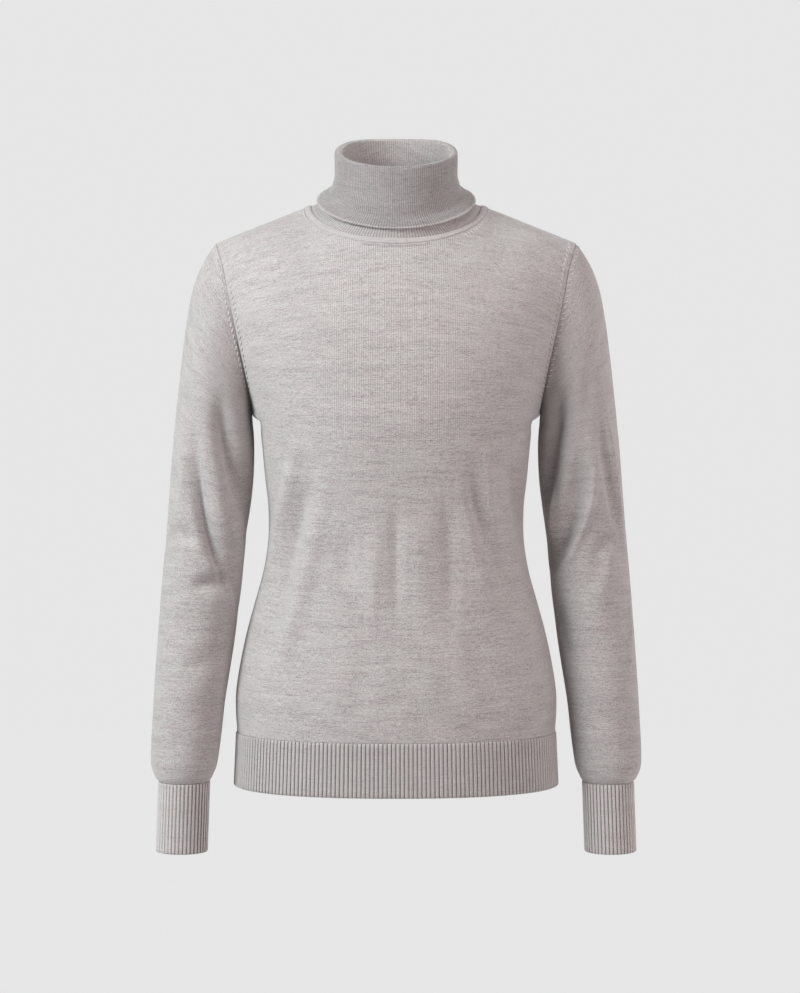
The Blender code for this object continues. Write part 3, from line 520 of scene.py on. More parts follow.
def panelTops(side):  # where each column ends: on the neck opening, then along the shoulder seam
    count, neckCount = body["columns"][side], body["neckColumns"][side]
    c = np.arange(count * body["finer"] + 1) / body["finer"]
    angle = np.minimum(np.pi / 2 * c / neckCount, np.pi / 2)
    onNeck = c < neckCount
    along = np.clip((c - neckCount) / (count - neckCount), 0.0, 1.0)
    x = np.where(onNeck, body["neckX"] * np.sin(angle), blend(body["neckX"], body["tipX"], along))
    neckHeight = heightOnForm(body["neckX"] * np.sin(angle), body["neckReach"][side] * np.cos(angle), side)
    return x, np.where(onNeck, neckHeight, shoulderLine(x, side)), onNeck


def halfPanel(side):
    sign = -1.0 if side == "front" else 1.0
    c = np.arange(body["columns"][side] * body["finer"] + 1) / body["finer"]
    spread = np.sin(np.pi / 2 * c / body["columns"][side])
    topX, topZ, onNeck = panelTops(side)
    levels = np.interp(np.arange((len(body["levels"]) - 1) * body["finerRows"] + 1) / body["finerRows"],
                       np.arange(len(body["levels"])), body["levels"])
    rows = []
    for level in levels:
        half = halfWidth(level, side)
        y = sign * bodyDepth(half * spread, level, side)
        y[-1] = 0.0
        inner = readCurve(body["chest"], "half", "z", level) if level > body["chest"]["z"][0] else half
        x = spread * blend(inner, half, spread**body["pullNearSide"])
        rows.append(np.stack([x, y, np.full(y.shape, level)], -1))
    top = body["armhole"]["z"][-1]
    turns = np.linspace(-np.pi / 2, np.pi / 2, body["armholeRows"] * body["finer"] + 1)[1:]
    for share in (1.0 + np.sin(turns)) / 2:
        armX = readCurve(body["armhole"], "x", "z", blend(body["underarmZ"], top, share))
        outward = (armX - body["underarmX"]) / (body["tipX"] - body["underarmX"])
        x = blend(body["underarmX"] * spread, topX, outward)
        z = blend(body["underarmZ"], topZ, share)
        y = sign * bodyDepth(x, z, side)
        if share == 1.0:
            y = np.where(onNeck, y, 0.0)
        rows.append(np.stack([x, y, z], -1))
    return np.array(rows), len(levels)


def armholeNormal():
    chord = np.array([body["tipX"] - body["underarmX"], 0.0, body["armhole"]["z"][-1] - body["underarmZ"]])
    return unit(np.array([chord[2], 0.0, -chord[0]]))


def seamRelief(distance, share=1.0):
    return body["seamDip"] * share * np.exp(-(distance / body["seamReach"])**2)


def bodyPanel(side):
    half, lowRows = halfPanel(side)
    if side == "front":
        grid = np.concatenate([mirrored(half[:, :0:-1]), half], axis=1)
        towardSeam = np.array([0.0, 1.0, 0.0])
    else:
        grid = np.concatenate([half[:, :0:-1], mirrored(half)], axis=1)
        towardSeam = np.array([0.0, -1.0, 0.0])
    count = grid.shape[1]
    reach = body["creaseFromUnderarm"]
    fromSide = smooth(0.0, body["creaseFromSide"], 1.0 - np.abs(np.linspace(-1.0, 1.0, count)))
    fromEnds = (smooth(body["hemTop"], body["hemTop"] + body["creaseFromHem"], grid[..., 2])
                * smooth(-reach, reach, body["underarmZ"] - grid[..., 2]))
    relief = creaseDepth(body[side + "Creases"], "x", grid[..., 0], grid[..., 2])
    relief = relief * fromSide * fromEnds * body["creaseStrength"]
    across, along = runLength(grid, 1), runLength(grid, 0)
    edge = np.minimum(across, across[:, -1:] - across)
    relief = relief + seamRelief(edge) + seamRelief(along, body["hemDip"])
    grid = grid - clothNormals(grid, False) * relief[..., None]
    keepOff = np.zeros(grid.shape)
    keepOff[:, [0, -1]] = towardSeam
    sign = np.sign(grid[-1, -1, 0])
    keepOff[lowRows:, -1] = armholeNormal() * np.array([sign, 1.0, 1.0])
    keepOff[lowRows:, 0] = armholeNormal() * np.array([-sign, 1.0, 1.0])
    seam = (body["columns"][side] - body["neckColumns"][side]) * body["finer"] + 1
    keepOff[-1, :seam] = keepOff[-1, -seam:] = towardSeam
    keepOff[0] = np.array([0.0, 0.0, -1.0])
    grid = grid - towardSeam * body["seamGap"] / 2
    slant = body["courseSlant"] * np.hypot(grid[..., 0], body["slantRound"])
    slant = slant * smooth(*body["slantOver"], grid[..., 2])
    uv = np.stack([across - across[:, [count // 2]], along - along[lowRows - 1] + slant], -1)
    return grid, behind(grid, body["cloth"], False, keepOff), uv, lowRows


panels = {side: bodyPanel(side) for side in ("front", "back")}
for side in ("front", "back"):
    outer, inner, uv, lowRows = panels[side]
    piece = wallPiece("bodyPanel_" + side, outer, inner, {"knit": uv}, False, bodyLook)
    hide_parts("body_" + side)
    panels[side] = {"outer": outer, "lowRows": lowRows, "piece": piece}
print("body panels knitted")


# ---- sleeves, cuffs
sleeve = {
    "cloth": 0.0018,
    "cut": (0.300, 0.560, 0.124),   # all round at the underarm, cap to cuff seam, flat area
    "finer": 8,
    "levelPower": 0.96,
    "girthRadius": 0.044,
    "capSlant": 0.60,    # how steeply its courses slope towards the body at the cap
    "capOver": (-0.30, -0.12),    # heights over which that slope sets in
    "capRound": 0.02,
    "leavesArmhole": 5.0,         # rings over which it leaves the armhole's own outline
    "creaseFade": (4.0, 3.0),     # rings over which creases die away at the armhole and the cuff
    "deepestCrease": 0.3,         # share of the sleeve's radius
    "seamDips": (0.9, 0.5),       # shares of the body's seam dip at the armhole and the cuff
    "rings": columns(
        "outerX  outerZ   innerX  innerZ   front    back",
        (0.1840, -0.0400, 0.1480, -0.2110, -0.0500, 0.0525),
        (0.1905, -0.0480, 0.1483, -0.2155, -0.0515, 0.0535),
        (0.2000, -0.0640, 0.1480, -0.2210, -0.0530, 0.0545),
        (0.2080, -0.0850, 0.1474, -0.2275, -0.0540, 0.0550),
        (0.2138, -0.1130, 0.1466, -0.2350, -0.0545, 0.0550),
        (0.2182, -0.1440, 0.1461, -0.2440, -0.0542, 0.0545),
        (0.2222, -0.1780, 0.1460, -0.2560, -0.0535, 0.0535),
        (0.2262, -0.2150, 0.1464, -0.2720, -0.0525, 0.0525),
        (0.2300, -0.2530, 0.1478, -0.2920, -0.0515, 0.0515),
        (0.2330, -0.2920, 0.1505, -0.3150, -0.0505, 0.0508),
        (0.2360, -0.3300, 0.1540, -0.3400, -0.0495, 0.0500),
        (0.2390, -0.3620, 0.1568, -0.3650, -0.0490, 0.0490),
        (0.2415, -0.3900, 0.1592, -0.3900, -0.0492, 0.0475),
        (0.2438, -0.4200, 0.1630, -0.4200, -0.0500, 0.0445),
        (0.2460, -0.4500, 0.1668, -0.4500, -0.0512, 0.0400),
        (0.2480, -0.4800, 0.1715, -0.4800, -0.0525, 0.0350),
        (0.2498, -0.5100, 0.1762, -0.5100, -0.0538, 0.0300),
        (0.2513, -0.5380, 0.1792, -0.5380, -0.0548, 0.0250),
        (0.2522, -0.5590, 0.1818, -0.5590, -0.0556, 0.0208),
        (0.2518, -0.5755, 0.1845, -0.5755, -0.0556, 0.0168),
        (0.2478, -0.5865, 0.1890, -0.5865, -0.0530, 0.0113),
        (0.2440, -0.5915, 0.1918, -0.5915, -0.0505, 0.0083)),
    "rightCreases": columns(                         # a is the angle round the sleeve, 0 at its front
        "a0     z0      a1      z1      a2      z2      width   depth",
        (-16.0, -0.172, -46.0, -0.250, -84.0, -0.345, 0.0095, 0.0115),
        (2.000, -0.240, -24.0, -0.318, -82.0, -0.382, 0.0078, 0.0125),
        (16.00, -0.240, 1.000, -0.318, -74.0, -0.400, 0.0032, -0.0056),
        (40.00, -0.300, 22.00, -0.352, -18.0, -0.412, 0.0070, 0.0030),
        (32.00, -0.330, 24.00, -0.368, -10.0, -0.425, 0.0075, -0.0034),
        (-44.0, -0.280, -58.0, -0.316, -68.0, -0.352, 0.0030, -0.0044),
        (22.00, -0.160, 18.00, -0.190, 14.00, -0.225, 0.0046, 0.0030),
        (6.000, -0.358, 26.00, -0.346, 62.00, -0.348, 0.0046, 0.0050),
        (42.00, -0.180, 50.00, -0.273, 68.00, -0.365, 0.0030, -0.0058),
        (31.00, -0.200, 39.00, -0.278, 55.00, -0.345, 0.0048, 0.0052),
        (72.00, -0.395, 60.00, -0.440, 48.00, -0.490, 0.0032, -0.0020),
        (-66.0, -0.400, -60.0, -0.435, -52.0, -0.475, 0.0080, 0.0042),
        (-30.0, -0.440, -6.00, -0.452, 24.00, -0.450, 0.0070, 0.0014),
        (150.0, -0.200, 158.0, -0.280, 178.0, -0.360, 0.0090, 0.0062),
        (120.0, -0.330, 160.0, -0.365, 215.0, -0.400, 0.0066, 0.0072),
        (118.0, -0.352, 156.0, -0.386, 200.0, -0.418, 0.0050, -0.0028),
        (130.0, -0.440, 165.0, -0.462, 205.0, -0.480, 0.0080, 0.0042),
        (-20.0, -0.520, 10.00, -0.528, 44.00, -0.524, 0.0070, 0.0012)),
    "leftCreases": columns(
        "a0     z0      a1      z1      a2      z2      width   depth",
        (-2.00, -0.180, -27.0, -0.256, -84.0, -0.335, 0.0082, 0.0135),
        (25.00, -0.226, -2.00, -0.330, -84.0, -0.418, 0.0052, 0.0125),
        (0.000, -0.255, -24.0, -0.318, -62.0, -0.362, 0.0064, -0.0044),
        (-20.0, -0.354, -46.0, -0.384, -68.0, -0.424, 0.0030, -0.0034),
        (46.00, -0.225, 42.00, -0.275, 42.00, -0.325, 0.0050, -0.0030),
        (64.00, -0.215, 61.00, -0.270, 60.00, -0.325, 0.0056, 0.0026),
        (84.00, -0.352, 42.00, -0.335, 0.000, -0.352, 0.0046, 0.0078),
        (20.00, -0.393, -18.0, -0.386, -60.0, -0.387, 0.0056, 0.0062),
        (2.000, -0.364, -18.0, -0.370, -40.0, -0.378, 0.0034, -0.0030),
        (-62.0, -0.400, -54.0, -0.440, -46.0, -0.480, 0.0075, 0.0030),
        (56.00, -0.150, 46.00, -0.195, 40.00, -0.230, 0.0060, 0.0016),
        (40.00, -0.420, 14.00, -0.428, -14.0, -0.440, 0.0065, 0.0016),
        (-40.0, -0.455, -10.0, -0.468, 25.00, -0.476, 0.0085, 0.0024),
        (148.0, -0.190, 160.0, -0.270, 182.0, -0.350, 0.0090, 0.0062),
        (115.0, -0.345, 155.0, -0.370, 210.0, -0.395, 0.0066, 0.0072),
        (112.0, -0.366, 150.0, -0.390, 196.0, -0.414, 0.0050, -0.0028),
        (-10.0, -0.540, 12.00, -0.545, 40.00, -0.538, 0.0070, 0.0012)),
}
cuff = {
    "cloth": 0.0016,
    "cut": (0.172, 0.071, 0.0122),
    "ribs": 42,
    "ribRise": 0.0011,
    "ribColumns": 8,
    "rows": 16,
    "rounding": 0.0008,     # of its two edges
    "plainSeam": (0.55, 0.22),   # how much lower its ribs are beside the underarm seam, and over what angle
    "ends": columns(
        "outerX  outerZ   innerX  innerZ   front    back",
        (0.2436, -0.5918, 0.1918, -0.5918, -0.0508, 0.0074),
        (0.2460, -0.6632, 0.1942, -0.6632, -0.0544, 0.0010)),
}
ribOutline = np.array([0.0, 0.55, 0.93, 1.0, 0.94, 1.0, 0.93, 0.55])  # one rib from groove to groove


def sleeveRing(rows, i, angles):
    values = {name: np.interp(i, np.arange(len(rows[name])), rows[name]) if len(rows[name]) == 2
              else readCurve(rows, name, np.arange(len(rows[name]), dtype=float), i) for name in rows}
    outer = np.array([values["outerX"], 0.0, values["outerZ"]])
    inner = np.array([values["innerX"], 0.0, values["innerZ"]])
    level = np.sign(np.cos(angles)) * np.abs(np.cos(angles))**sleeve["levelPower"]
    forward = (values["front"] + values["back"]) / 2 + level * (values["front"] - values["back"]) / 2
    ring = (outer + inner) / 2 + (outer - inner) / 2 * np.sin(angles)[:, None]
    ring[:, 1] += forward
    return ring


def wrapUV(grid, seamless):  # along the ring from the outer edge both ways, and up each column
    closed = np.concatenate([grid, grid[:, :1]], axis=1)
    across = runLength(closed, 1)
    across = across - across[:, [seamless]]
    return np.stack([across, runLength(closed, 0)], -1)


def sleeveTube(sign, creases):
    first = panels["front"]["lowRows"] - 1
    front, back = panels["front"]["outer"], panels["back"]["outer"]
    if sign > 0:
        loop = np.concatenate([front[first:, -1], back[first:, 0][::-1][1:-1]])
    else:
        loop = mirrored(np.concatenate([front[first:, 0], back[first:, -1][::-1][1:-1]]))
    turn = np.linspace(-np.pi / 2, 3 * np.pi / 2, len(loop) + 1)[:-1]
    count = (len(sleeve["rings"]["front"]) - 1) * sleeve["finer"] + 1
    place = np.arange(count) / sleeve["finer"]
    grid = np.array([sleeveRing(sleeve["rings"], i, turn) for i in place])
    grid = grid + (loop - grid[0]) * (1.0 - smooth(0.0, sleeve["leavesArmhole"], place))[:, None, None]
    grid, place = grid[::-1], place[::-1]
    atArmhole, atCuff = sleeve["creaseFade"]
    fade = smooth(0.0, atArmhole, place) * smooth(0.0, atCuff, place[0] - place)
    radius = np.linalg.norm(grid - grid.mean(axis=1, keepdims=True), axis=-1)
    lines = dict(creases)
    for k in "012":
        lines["x" + k] = np.radians(creases["a" + k]) * sleeve["girthRadius"]
    relief = np.zeros(grid.shape[:2])
    for lap in (-2 * np.pi, 0.0, 2 * np.pi):
        around = np.broadcast_to((turn + lap) * sleeve["girthRadius"], grid.shape[:2])
        relief += creaseDepth(lines, "x", around, grid[..., 2]) * fade[:, None]
    relief = np.minimum(relief, radius * sleeve["deepestCrease"])
    fromArmhole = runLength(grid[::-1], 0)[::-1]
    armholeDip, cuffDip = sleeve["seamDips"]
    relief = relief + seamRelief(fromArmhole, armholeDip) * (fromArmhole > 1e-5)
    relief = relief + seamRelief(runLength(grid, 0), cuffDip)
    grid = grid - clothNormals(grid, True) * relief[..., None]
    towardBody = -armholeNormal()
    grid[-1] = loop - towardBody * body["seamGap"]
    keepOff = np.zeros(grid.shape)
    keepOff[-1] = towardBody
    keepOff[0] = np.array([0.0, 0.0, -1.0])
    uv = wrapUV(grid, len(loop) // 2)
    onCap = smooth(*sleeve["capOver"], np.append(grid[..., 2], grid[:, :1, 2], axis=1))
    uv[..., 1] += sleeve["capSlant"] * onCap * np.hypot(uv[..., 0], sleeve["capRound"])
    return grid, behind(grid, sleeve["cloth"], True, keepOff), {"knit": uv}


def bandRelief(ribs, along, radius, drop=0.6):  # how far a band's outer side stands out, rounded at its ends
    low = np.clip(1.0 - along / radius, 0.0, 1.0)
    high = np.clip(1.0 - (along[-1:] - along) / radius, 0.0, 1.0)
    drawnIn = radius * (2.0 - np.sqrt(1.0 - low**2) - np.sqrt(1.0 - high**2))
    return (ribs * (1.0 - drawnIn / (2 * radius)) - drawnIn * drop)[..., None]


def bandRows(count):  # shares along a band, closer together at its ends
    return (1.0 - np.cos(np.linspace(0.0, np.pi, count))) / 2


def ribCount(columnsEach, strength, rows):  # counts ribs along a band and says how strong each rib's painted groove shade is
    place = np.arange(len(strength)) / columnsEach
    return np.broadcast_to(np.stack([place, strength], -1), (rows, len(strength), 2))


def cuffTube():
    columnsRound = cuff["ribs"] * cuff["ribColumns"]
    turn = np.linspace(-np.pi / 2, 3 * np.pi / 2, columnsRound + 1)[:-1]
    grid = np.array([sleeveRing(cuff["ends"], 1.0 - share, turn) for share in bandRows(cuff["rows"])])
    base = clothNormals(grid, True)
    inner = grid - base * cuff["cloth"]
    lower, angle = cuff["plainSeam"]
    fromSeam = np.minimum(turn + np.pi / 2, 3 * np.pi / 2 - turn)
    seamSide = 1.0 - lower * np.exp(-(fromSeam / angle)**2)
    ribs = np.tile(ribOutline, cuff["ribs"]) * cuff["ribRise"] * seamSide
    outer = grid + base * bandRelief(ribs, runLength(grid, 0), cuff["rounding"])
    shading = ribCount(cuff["ribColumns"], np.append(seamSide, seamSide[0]), len(grid))
    return outer, inner, {"knit": wrapUV(grid, columnsRound // 2), "ribs": shading}


sleeves = {}
for side, sign in (("left", -1), ("right", 1)):
    flip = mirrored if sign < 0 else (lambda points: points)
    for name, look, slot in (("sleeve", sleeveLook, "sleeve_knit"), ("cuff", cuffLook, "cuff_rib")):
        outer, inner, layouts = sleeveTube(sign, sleeve[side + "Creases"]) if name == "sleeve" else cuffTube()
        outer, inner = flip(outer), flip(inner)
        if sign < 0:
            outer, inner = outer[:, ::-1], inner[:, ::-1]
            layouts = {key: uv[:, ::-1] for key, uv in layouts.items()}
        piece = wallPiece(name + "Tube_" + side, outer, inner, layouts, True, look)
        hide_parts(name + "_" + side)
        if name == "sleeve":
            sleeves[side] = {"outer": outer, "piece": piece}
        else:
            "sleeveTube_" + side
print("sleeves and cuffs knitted")


# ---- hem bands
hem = {
    "cloth": 0.0016,
    "cut": (0.462, 0.056, 0.0256),
    "bottom": -0.5970,
    "ribs": 104,          # on the front, and again on the back
    "ribRise": 0.0012,
    "ribColumns": 8,
    "rows": 14,
    "plainSide": (0.002, 0.010),   # the ribs die away between these distances from the side seams
    "rounding": 0.0013,
    "samples": 2881,      # for spacing the ribs evenly
}


def evenHalfRing(half, depth, count):
    power = body["squareness"]
    spread = np.sin(np.linspace(-np.pi / 2, np.pi / 2, hem["samples"]))
    x = half * spread
    y = depth * (1.0 - np.minimum(np.abs(spread), 1.0)**power)**(1.0 / power)
    length = np.concatenate([[0.0], np.cumsum(np.hypot(np.diff(x), np.diff(y)))])
    at = np.linspace(0.0, length[-1], count + 1)
    return np.interp(at, length, x), np.interp(at, length, y)


def hemBand(side):
    sign = -1.0 if side == "front" else 1.0
    count = hem["ribs"] * hem["ribColumns"]
    ends = []
    for level in (hem["bottom"], body["hemTop"] - body["seamGap"]):
        half = readCurve(body["torso"], "half", "z", level)
        x, y = evenHalfRing(half, readCurve(body["torso"], side, "z", level), count)
        ends.append(np.stack([x, sign * (y + body["seamGap"] / 2), np.full(x.shape, level)], -1))
    grid = np.array([blend(ends[0], ends[1], share) for share in bandRows(hem["rows"])])
    if side == "back":
        grid = grid[:, ::-1]
    keepOff = np.zeros(grid.shape)
    keepOff[:, [0, -1]] = np.array([0.0, -sign, 0.0])
    base = clothNormals(grid, False)
    inner = behind(grid, hem["cloth"], False, keepOff)
    across, along = runLength(grid, 1), runLength(grid, 0)
    fromSide = np.minimum(across, across[:, -1:] - across)
    strength = smooth(*hem["plainSide"], fromSide)
    ribs = np.append(np.tile(ribOutline, hem["ribs"]), 0.0) * hem["ribRise"] * strength
    outer = grid + base * bandRelief(ribs, along, hem["rounding"])
    outer[:, [0, -1]] = grid[:, [0, -1]]
    uv = np.stack([across - across[:, [count // 2]], along], -1)
    return outer, inner, {"knit": uv, "ribs": ribCount(hem["ribColumns"], strength[0], len(grid))}


for side in ("front", "back"):
    outer, inner, layouts = hemBand(side)
    piece = wallPiece("hemBand_" + side, outer, inner, layouts, False, bandLook)
    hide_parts("hem_" + side)
    "bodyPanel_" + side
print("hem bands knitted")


# ---- folded collar
collar = {
    "cloth": 0.0016,
    "cut": (0.400, 0.125, 0.0490),   # round the neck, neck seam to free edge, flat area
    "ribs": 180,
    "ribColumns": 4,
    "ribRise": 0.00042,
    "finer": 4,
    "ribsFromRow": 0.8,      # the rows over which its ribs rise from the foot
    "ribInset": 0.0002,      # each side lies this far inside the cloth's own thickness
    "standRibs": 0.6,        # how strong the ribs are on the side that is turned in
    "flapReach": 0.045,      # the flap has none of those, this far from the free edge
    "edgeRoll": 0.0007,      # the free edge is a little thicker than the cloth
    "edgeReach": 0.0016,
    "footShare": (1.0, 0.80, 0.50, 0.20, 0.0),   # how closely its first rows keep to the foot
    "backLevel": 0.35,       # how much flatter its sections run across the back than a plain oval
    "foot": columns(         # how far the collar's foot lies inside and above the neck seam
        "angle   inside  above",
        (0.0, 0.0050, 0.0060),
        (90.0, 0.0075, 0.0018),
        (180.0, 0.0050, 0.0058)),
    "rings": columns(        # the middle of the cloth: neck seam, stand, fold and turned-down part
        "sideX    sideZ    frontY   frontZ   backY    backZ",
        (0.0865, -0.0028, -0.0665, -0.0350, 0.0450, 0.0085),
        (0.0782, -0.0002, -0.0656, -0.0280, 0.0452, 0.0170),
        (0.0704, 0.0052, -0.0630, -0.0190, 0.0455, 0.0270),
        (0.0622, 0.0140, -0.0598, -0.0080, 0.0452, 0.0380),
        (0.0580, 0.0300, -0.0568, 0.0100, 0.0448, 0.0500),
        (0.0562, 0.0502, -0.0551, 0.0329, 0.0451, 0.0649),
        (0.0571, 0.0523, -0.0559, 0.0350, 0.0459, 0.0670),
        (0.0592, 0.0532, -0.0580, 0.0359, 0.0480, 0.0679),
        (0.0613, 0.0523, -0.0601, 0.0350, 0.0501, 0.0670),
        (0.0620, 0.0502, -0.0609, 0.0329, 0.0509, 0.0649),
        (0.0622, 0.0285, -0.0622, 0.0080, 0.0506, 0.0420),
        (0.0655, 0.0150, -0.0632, -0.0110, 0.0508, 0.0295),
        (0.0724, 0.0080, -0.0656, -0.0195, 0.0514, 0.0235),
        (0.0806, 0.0022, -0.0680, -0.0262, 0.0524, 0.0190)),
    "swells": columns(       # soft bands round the turned-down part: row, angle, reach in rows and degrees
        "row    angle   tall   wide   depth",
        (10.00, -20.0, 0.28, 60.0, 0.0008),
        (10.55, 20.00, 0.30, 70.0, -0.0007),
        (11.20, -35.0, 0.34, 45.0, 0.0007),
        (11.60, 40.00, 0.34, 50.0, 0.0008),
        (12.20, 0.000, 0.30, 50.0, -0.0004),
        (10.10, 150.0, 0.30, 60.0, 0.0008),
        (11.40, 200.0, 0.34, 60.0, 0.0007),
        (6.300, 62.00, 0.90, 9.00, 0.0016),
        (7.900, 64.00, 0.80, 10.0, -0.0009)),
}


def neckSeamPoint(angle):
    x = body["neckX"] * np.sin(angle)
    isFront = np.cos(angle) >= 0
    reach = np.where(isFront, body["neckReach"]["front"], body["neckReach"]["back"])
    depth = reach * np.abs(np.cos(angle))
    z = np.where(isFront, heightOnForm(x, depth, "front"), heightOnForm(x, depth, "back"))
    return np.stack([x, np.where(isFront, -depth, depth), z], -1)


def collarFoot(angle):
    turned = 180.0 - np.abs(np.degrees(angle) - 180.0)
    inside = readCurve(collar["foot"], "inside", "angle", turned)
    above = readCurve(collar["foot"], "above", "angle", turned)
    inward = -unit(np.stack([np.sin(angle) / body["neckX"], -np.cos(angle) / body["neckReach"]["front"],
                             np.zeros(angle.shape)], -1))
    return neckSeamPoint(angle) + inward * inside[:, None] + above[:, None] * np.array([0.0, 0.0, 1.0])


def collarMiddle(angle):
    keys = np.arange(len(collar["rings"]["sideX"]), dtype=float)
    place = np.arange((len(keys) - 1) * collar["finer"] + 1) / collar["finer"]
    v = {name: readCurve(collar["rings"], name, keys, place)[:, None] for name in collar["rings"]}
    level = (v["frontZ"] + v["backZ"] + 2 * v["sideZ"]) / 4
    tilt = (v["frontZ"] - v["backZ"]) / 2
    saddle = (v["frontZ"] + v["backZ"] - 2 * v["sideZ"]) / 4
    x = v["sideX"] * np.sin(angle)
    y = (v["frontY"] + v["backY"]) / 2 + (v["frontY"] - v["backY"]) / 2 * np.cos(angle)
    forward = np.cos(angle)
    slant = np.where(forward < 0.0, forward * (1.0 + collar["backLevel"] * np.sin(angle)**2), forward)
    z = level + tilt * slant + saddle * np.cos(2 * angle)
    grid = np.stack([x, y, z], -1)
    share = np.interp(place, np.arange(len(collar["footShare"])), collar["footShare"])
    return grid + (collarFoot(angle) - grid[0]) * share[:, None, None], place


def foldedCollar():
    count = collar["ribs"] * collar["ribColumns"]
    angle = 2 * np.pi * np.arange(count) / count
    middle, place = collarMiddle(angle)
    away = clothNormals(middle, True)
    swell = np.zeros(middle.shape[:2])
    for i in range(len(collar["swells"]["row"])):
        s = {name: collar["swells"][name][i] for name in collar["swells"]}
        turned = (np.degrees(angle) - s["angle"] + 180.0) % 360.0 - 180.0
        swell += s["depth"] * np.exp(-((place[:, None] - s["row"]) / s["tall"])**2 - (turned / s["wide"])**2)
    middle = middle + away * swell[..., None]
    rib = 0.5 + 0.5 * np.cos(collar["ribs"] * angle)
    rise = collar["ribRise"] * rib[None, :] * smooth(0.0, collar["ribsFromRow"], place)[:, None]
    along = runLength(middle, 0)
    fromEdge = along[-1:] - along
    half = collar["cloth"] / 2 + collar["edgeRoll"] * np.exp(-(fromEdge / collar["edgeReach"])**2)
    return middle, away, half - collar["ribInset"], rise, fromEdge, place / place[-1]


def collarPiece():
    middle, away, half, rise, fromEdge, share = foldedCollar()
    shownSide = middle - away * (half + rise)[..., None]
    standRise = rise * collar["standRibs"] * (fromEdge > collar["flapReach"])
    standSide = middle + away * (half + standRise)[..., None]
    count = middle.shape[1]
    shading = ribCount(collar["ribColumns"], np.ones(count + 1), len(middle)) + np.array([0.5, 0.0])
    fold = np.broadcast_to(np.stack([share * 0.0, share], -1)[:, None], shading.shape)
    layouts = {"knit": wrapUV(middle, count // 2), "ribs": shading, "fold": fold}
    piece = wallPiece("foldedCollar", standSide, shownSide, layouts, True, collarLook)
    return piece, standSide[0]


collarCloth, collarFootEdge = collarPiece()
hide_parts("collar")
print("collar folded")


# ---- rolled band at the neck seam
trim = {
    "cut": (0.490, 0.010, 0.0036),
    "thickness": 0.0025,
    "boxiness": 0.76,
    "sides": 24,
    "stations": 360,
}


def neckEdge():
    front, back = panels["front"]["outer"][-1], panels["back"]["outer"][-1]
    centre, backCentre = len(front) // 2, len(back) // 2
    frontCount = body["neckColumns"]["front"] * body["finer"]
    backCount = body["neckColumns"]["back"] * body["finer"]
    loop = np.concatenate([front[centre:centre + frontCount + 1],
                           back[backCentre - backCount:backCentre + backCount + 1][1:-1],
                           front[centre - frontCount:centre + 1]])
    quarter = np.linspace(0.0, np.pi / 2, frontCount + 1)
    rear = np.linspace(np.pi / 2, 3 * np.pi / 2, 2 * backCount + 1)[1:-1]
    return loop, np.concatenate([quarter, rear, 2 * np.pi - quarter[::-1]])


def neckTrim():
    edge, edgeAngles = neckEdge()
    angles = 2 * np.pi * np.arange(trim["stations"]) / trim["stations"]
    loop = pointAt(angles, edgeAngles, edge)
    footAngles = 2 * np.pi * np.arange(len(collarFootEdge) + 1) / len(collarFootEdge)
    foot = pointAt(angles, footAngles, np.concatenate([collarFootEdge, collarFootEdge[:1]]))
    along = unit(np.roll(loop, -1, axis=0) - np.roll(loop, 1, axis=0))
    across = foot - loop
    width = np.linalg.norm(across, axis=-1, keepdims=True)
    across = across / width
    proud = unit(np.cross(along, across))
    proud = proud * np.sign(proud[:, 2:3])
    reach = width / 2 - body["seamGap"] * 0.5
    turns = -2 * np.pi * np.arange(trim["sides"]) / trim["sides"]
    circle = np.stack([np.cos(turns), np.sin(turns)])
    boxy = np.sign(circle) * np.abs(circle)**trim["boxiness"]
    rings = np.array([(loop + foot) / 2 + across * reach * wide + proud * trim["thickness"] / 2 * high
                      for wide, high in boxy.T])
    rings = rings.transpose(1, 0, 2)
    return np.concatenate([rings, rings[:1]])


def tubePiece(name, rings, look):  # a closed ring of cloth, its first and last section the same
    count, sides = rings.shape[0] - 1, rings.shape[1]
    closed = np.concatenate([rings, rings[:, :1]], axis=1)
    uv = np.stack([runLength(closed, 1), runLength(closed, 0)], -1)
    r, c = np.meshgrid(np.arange(count), np.arange(sides), indexing="ij")
    up, right = (r + 1) % count, (c + 1) % sides
    faces = np.stack([r * sides + c, r * sides + right, up * sides + right, up * sides + c], -1)
    maps = np.stack([uv[r, c], uv[r, c + 1], uv[r + 1, c + 1], uv[r + 1, c]], -2)
    layouts = {"knit": maps.reshape(-1, 4, 2)}
    return makePiece(name, rings[:-1].reshape(-1, 3), faces.reshape(-1, 4), layouts, look, 180.0)


neckBand = tubePiece("neckBand", neckTrim(), trimLook)
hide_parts("neck_trim")
print("neck band rolled")


